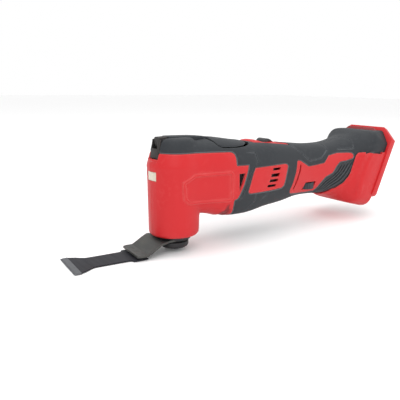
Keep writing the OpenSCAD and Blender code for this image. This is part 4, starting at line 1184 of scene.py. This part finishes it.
def makeBracket():
    bm = bmesh.new()
    stations = [-45, -44.2, -43, -42, -40, -37.5, -36, -35, -34, -33, -31, -28, -25, -22, -21, -20, -19, -18,
                -16, -12, -8, -4, 0, 4, 8, 11, 13, 14, 14.35]
    rows = []
    for x in stations:
        row = []
        for f in (-1, -0.97, -0.8, -0.55, -0.3, 0, 0.3, 0.55, 0.8, 0.97, 1):
            y = f * bracketHalf(x)
            dip = 0.0
            for centre in (-blade["weldY"], blade["weldY"]):
                d = math.hypot(x - blade["weldX"], y - centre) / 3.0
                dip += 0.8 * math.exp(-d * d * 2.0)
            row.append(bm.verts.new(Vector((x, y, bracketHeight(x) - 0.05 - dip * (x < -34))) * mm))
        rows.append(row)
    for a, b in zip(rows, rows[1:]):
        for k in range(len(a) - 1):
            bm.faces.new((a[k], b[k], b[k + 1], a[k + 1]))
    ops.subdivide_edges(bm, edges=bm.edges, cuts=1, use_grid_fill=True)
    tidyNormals(bm)
    bm.normal_update()
    if sum(f.normal.z for f in bm.faces) < 0:
        ops.reverse_faces(bm, faces=bm.faces)
    turnBlade(bm)
    plate = shell(bm, blade["plate"] - 0.1)
    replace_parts(linkPiece("bladeBracket", plate, [bracketGrey], "spindle"), "blade_bracket")


def makeBlade():
    z1 = -blade["drop"] - blade["plate"]
    z0 = z1 - blade["thick"]
    neck, edge, reach, tip = blade["neck"] / 2, blade["edge"] / 2, blade["reach"], blade["tip"]
    right = [(-34, neck + 3.6), (-46.4, neck + 3.9), (-47.8, neck + 3.2), (-48.8, neck + 1.0),
             (-50.2, neck + 0.2), (-66, neck), (-80.6, neck), (-83.6, neck + 0.5), (-86.4, neck + 2.2),
             (-90.6, edge - 3.4), (-reach + tip + 0.6, edge - 1.0), (-reach + tip, edge - 0.2)]
    body = turnBlade(plateFrom(mirrorLoop(right), z0, z1))
    roundEdges(body, 0.18, 1, 50)
    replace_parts(linkPiece("bladePlate", body, [bladeBlack], "spindle"), "blade_body")


# The tip with its teeth, ground thinner towards them
def makeTip():
    z1 = -blade["drop"] - blade["plate"]
    z0 = z1 - blade["thick"]
    edge, reach, count = blade["edge"] / 2, blade["reach"], blade["teeth"]
    pitch = blade["edge"] / count
    depths = (blade["tooth"], 0.02)
    line = [(-reach + depths[k % 2], -edge + k * pitch / 2) for k in range(2 * count + 1)]
    bm = bmesh.new()
    x1 = -reach + blade["tip"]
    rows = []
    for level, slope in ((z1, -0.12), (z0, 0.12)):
        ground = (level + (z0 + z1) / 2 * 1.6) / 2.6
        rows.append([[bm.verts.new(Vector((x, y, level + rise)) * mm) for _, y in line]
                     for x, rise in ((x1, 0), (x1 - 4.2, slope))]
                    + [[bm.verts.new(Vector((x, y, ground)) * mm) for x, y in line]])
    top, low = rows
    for side in rows:
        joinRings(bm, side, False)
    for k in range(len(line) - 1):
        bm.faces.new((top[0][k], top[0][k + 1], low[0][k + 1], low[0][k]))
        bm.faces.new((top[2][k + 1], top[2][k], low[2][k], low[2][k + 1]))
    for end in (0, -1):
        bm.faces.new([row[end] for row in top + list(reversed(low))])
    tidyNormals(bm)
    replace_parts(linkPiece("bladeTip", turnBlade(bm), [edgeSteel], "spindle", 20), "blade_teeth")


def makeWelds():
    bm = bmesh.new()
    for y in (-blade["weldY"], blade["weldY"]):
        made = ops.create_uvsphere(bm, u_segments=20, v_segments=10, radius=1.5 * mm)
        ops.scale(bm, vec=(1, 1, 0.3), verts=made["verts"])
        middle = Vector((blade["weldX"], y, -blade["drop"] - 0.42)) * mm
        ops.translate(bm, vec=middle, verts=made["verts"])
    welds = linkPiece("bladeWelds", turnBlade(bm), [bracketGrey], "spindle")
    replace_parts(welds, "blade_welds")


# Turned pieces: replaced node, body, finish, slot, steps round, profile of radius and z
turnedPieces = {
    "noseRing": ("nose_ring", "root", blackPlastic, "black_plastic", 96, pairs(
        9.0, 4.0, 19.0, 4.0, 19.6, 4.3, 19.8, 5.0, 19.8, 6.7, 9.0, 6.7)),
    "driveFlange": ("drive_flange", "spindle", blackSteel, "black_steel", 72, pairs(
        4.05, 0.02, 15.2, 0.02, 15.9, 0.5, 16, 1.2, 16, 3.0, 15.3, 3.9, 4.05, 3.9)),
    "clampFlange": ("clamp_flange", "clamp", blackSteel, "black_steel", 72, pairs(
        0.0, -8.0, 3.9, -8.0, 4.2, -8.4, 10.6, -8.4, 11.8, -8.1, 13.0, -7.2, 13.7, -5.9,
        13.8, -4.4, 13.8, -2.4, 13.4, -2.05, 0.0, -2.05))}


makeBracket()
makeBlade()
makeTip()
makeWelds()
for name, (replaced, body, material, slotName, steps, profile) in turnedPieces.items():
    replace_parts(linkPiece(name, turned(profile, steps), [material], body), replaced)
print("blade and clamp made")


# Finishes of the inner pieces
innerFinishes = {
    "blackPlastic": "terminal_block cooling_fan motor_end_bell slide_switch",
    "sealRubber": "spindle_seal",
    "whitePlastic": "switch_link",
    "dialGrey": "speed_dial",
    "brassMetal": "terminal_blades brush_holders counterweight",
    "bareSteel": "clamp_rod clamp_spring output_spindle lower_bearing upper_bearing oscillating_fork "
                 "eccentric eccentric_bearing motor_shaft front_motor_bearing rear_motor_bearing "
                 "armature_core brush_springs",
    "blackSteel": "drive_pins lever_pin lever_bracket bracket_screws clamp_cap retaining_ring "
                  "gear_case_screws housing_screws",
    "castAlloy": "gear_case heat_sink motor_can",
    "ferriteBlock": "motor_magnets",
    "copperWire": "armature_windings commutator",
    "carbonBlock": "carbon_brushes",
    "boardGreen": "dial_board control_board led_board",
    "wireRed": "battery_wires",
    "wireBlack": "motor_wires"}
for materialName, names in innerFinishes.items():
    material = bpy.data.materials[materialName]
    for name in names.split():
        slots = frame["nodes"][name].data.materials
        if not slots:
            slots.append(material)
        for index in range(len(slots)):
            slots[index] = material
print("inner pieces finished")

skin.free()
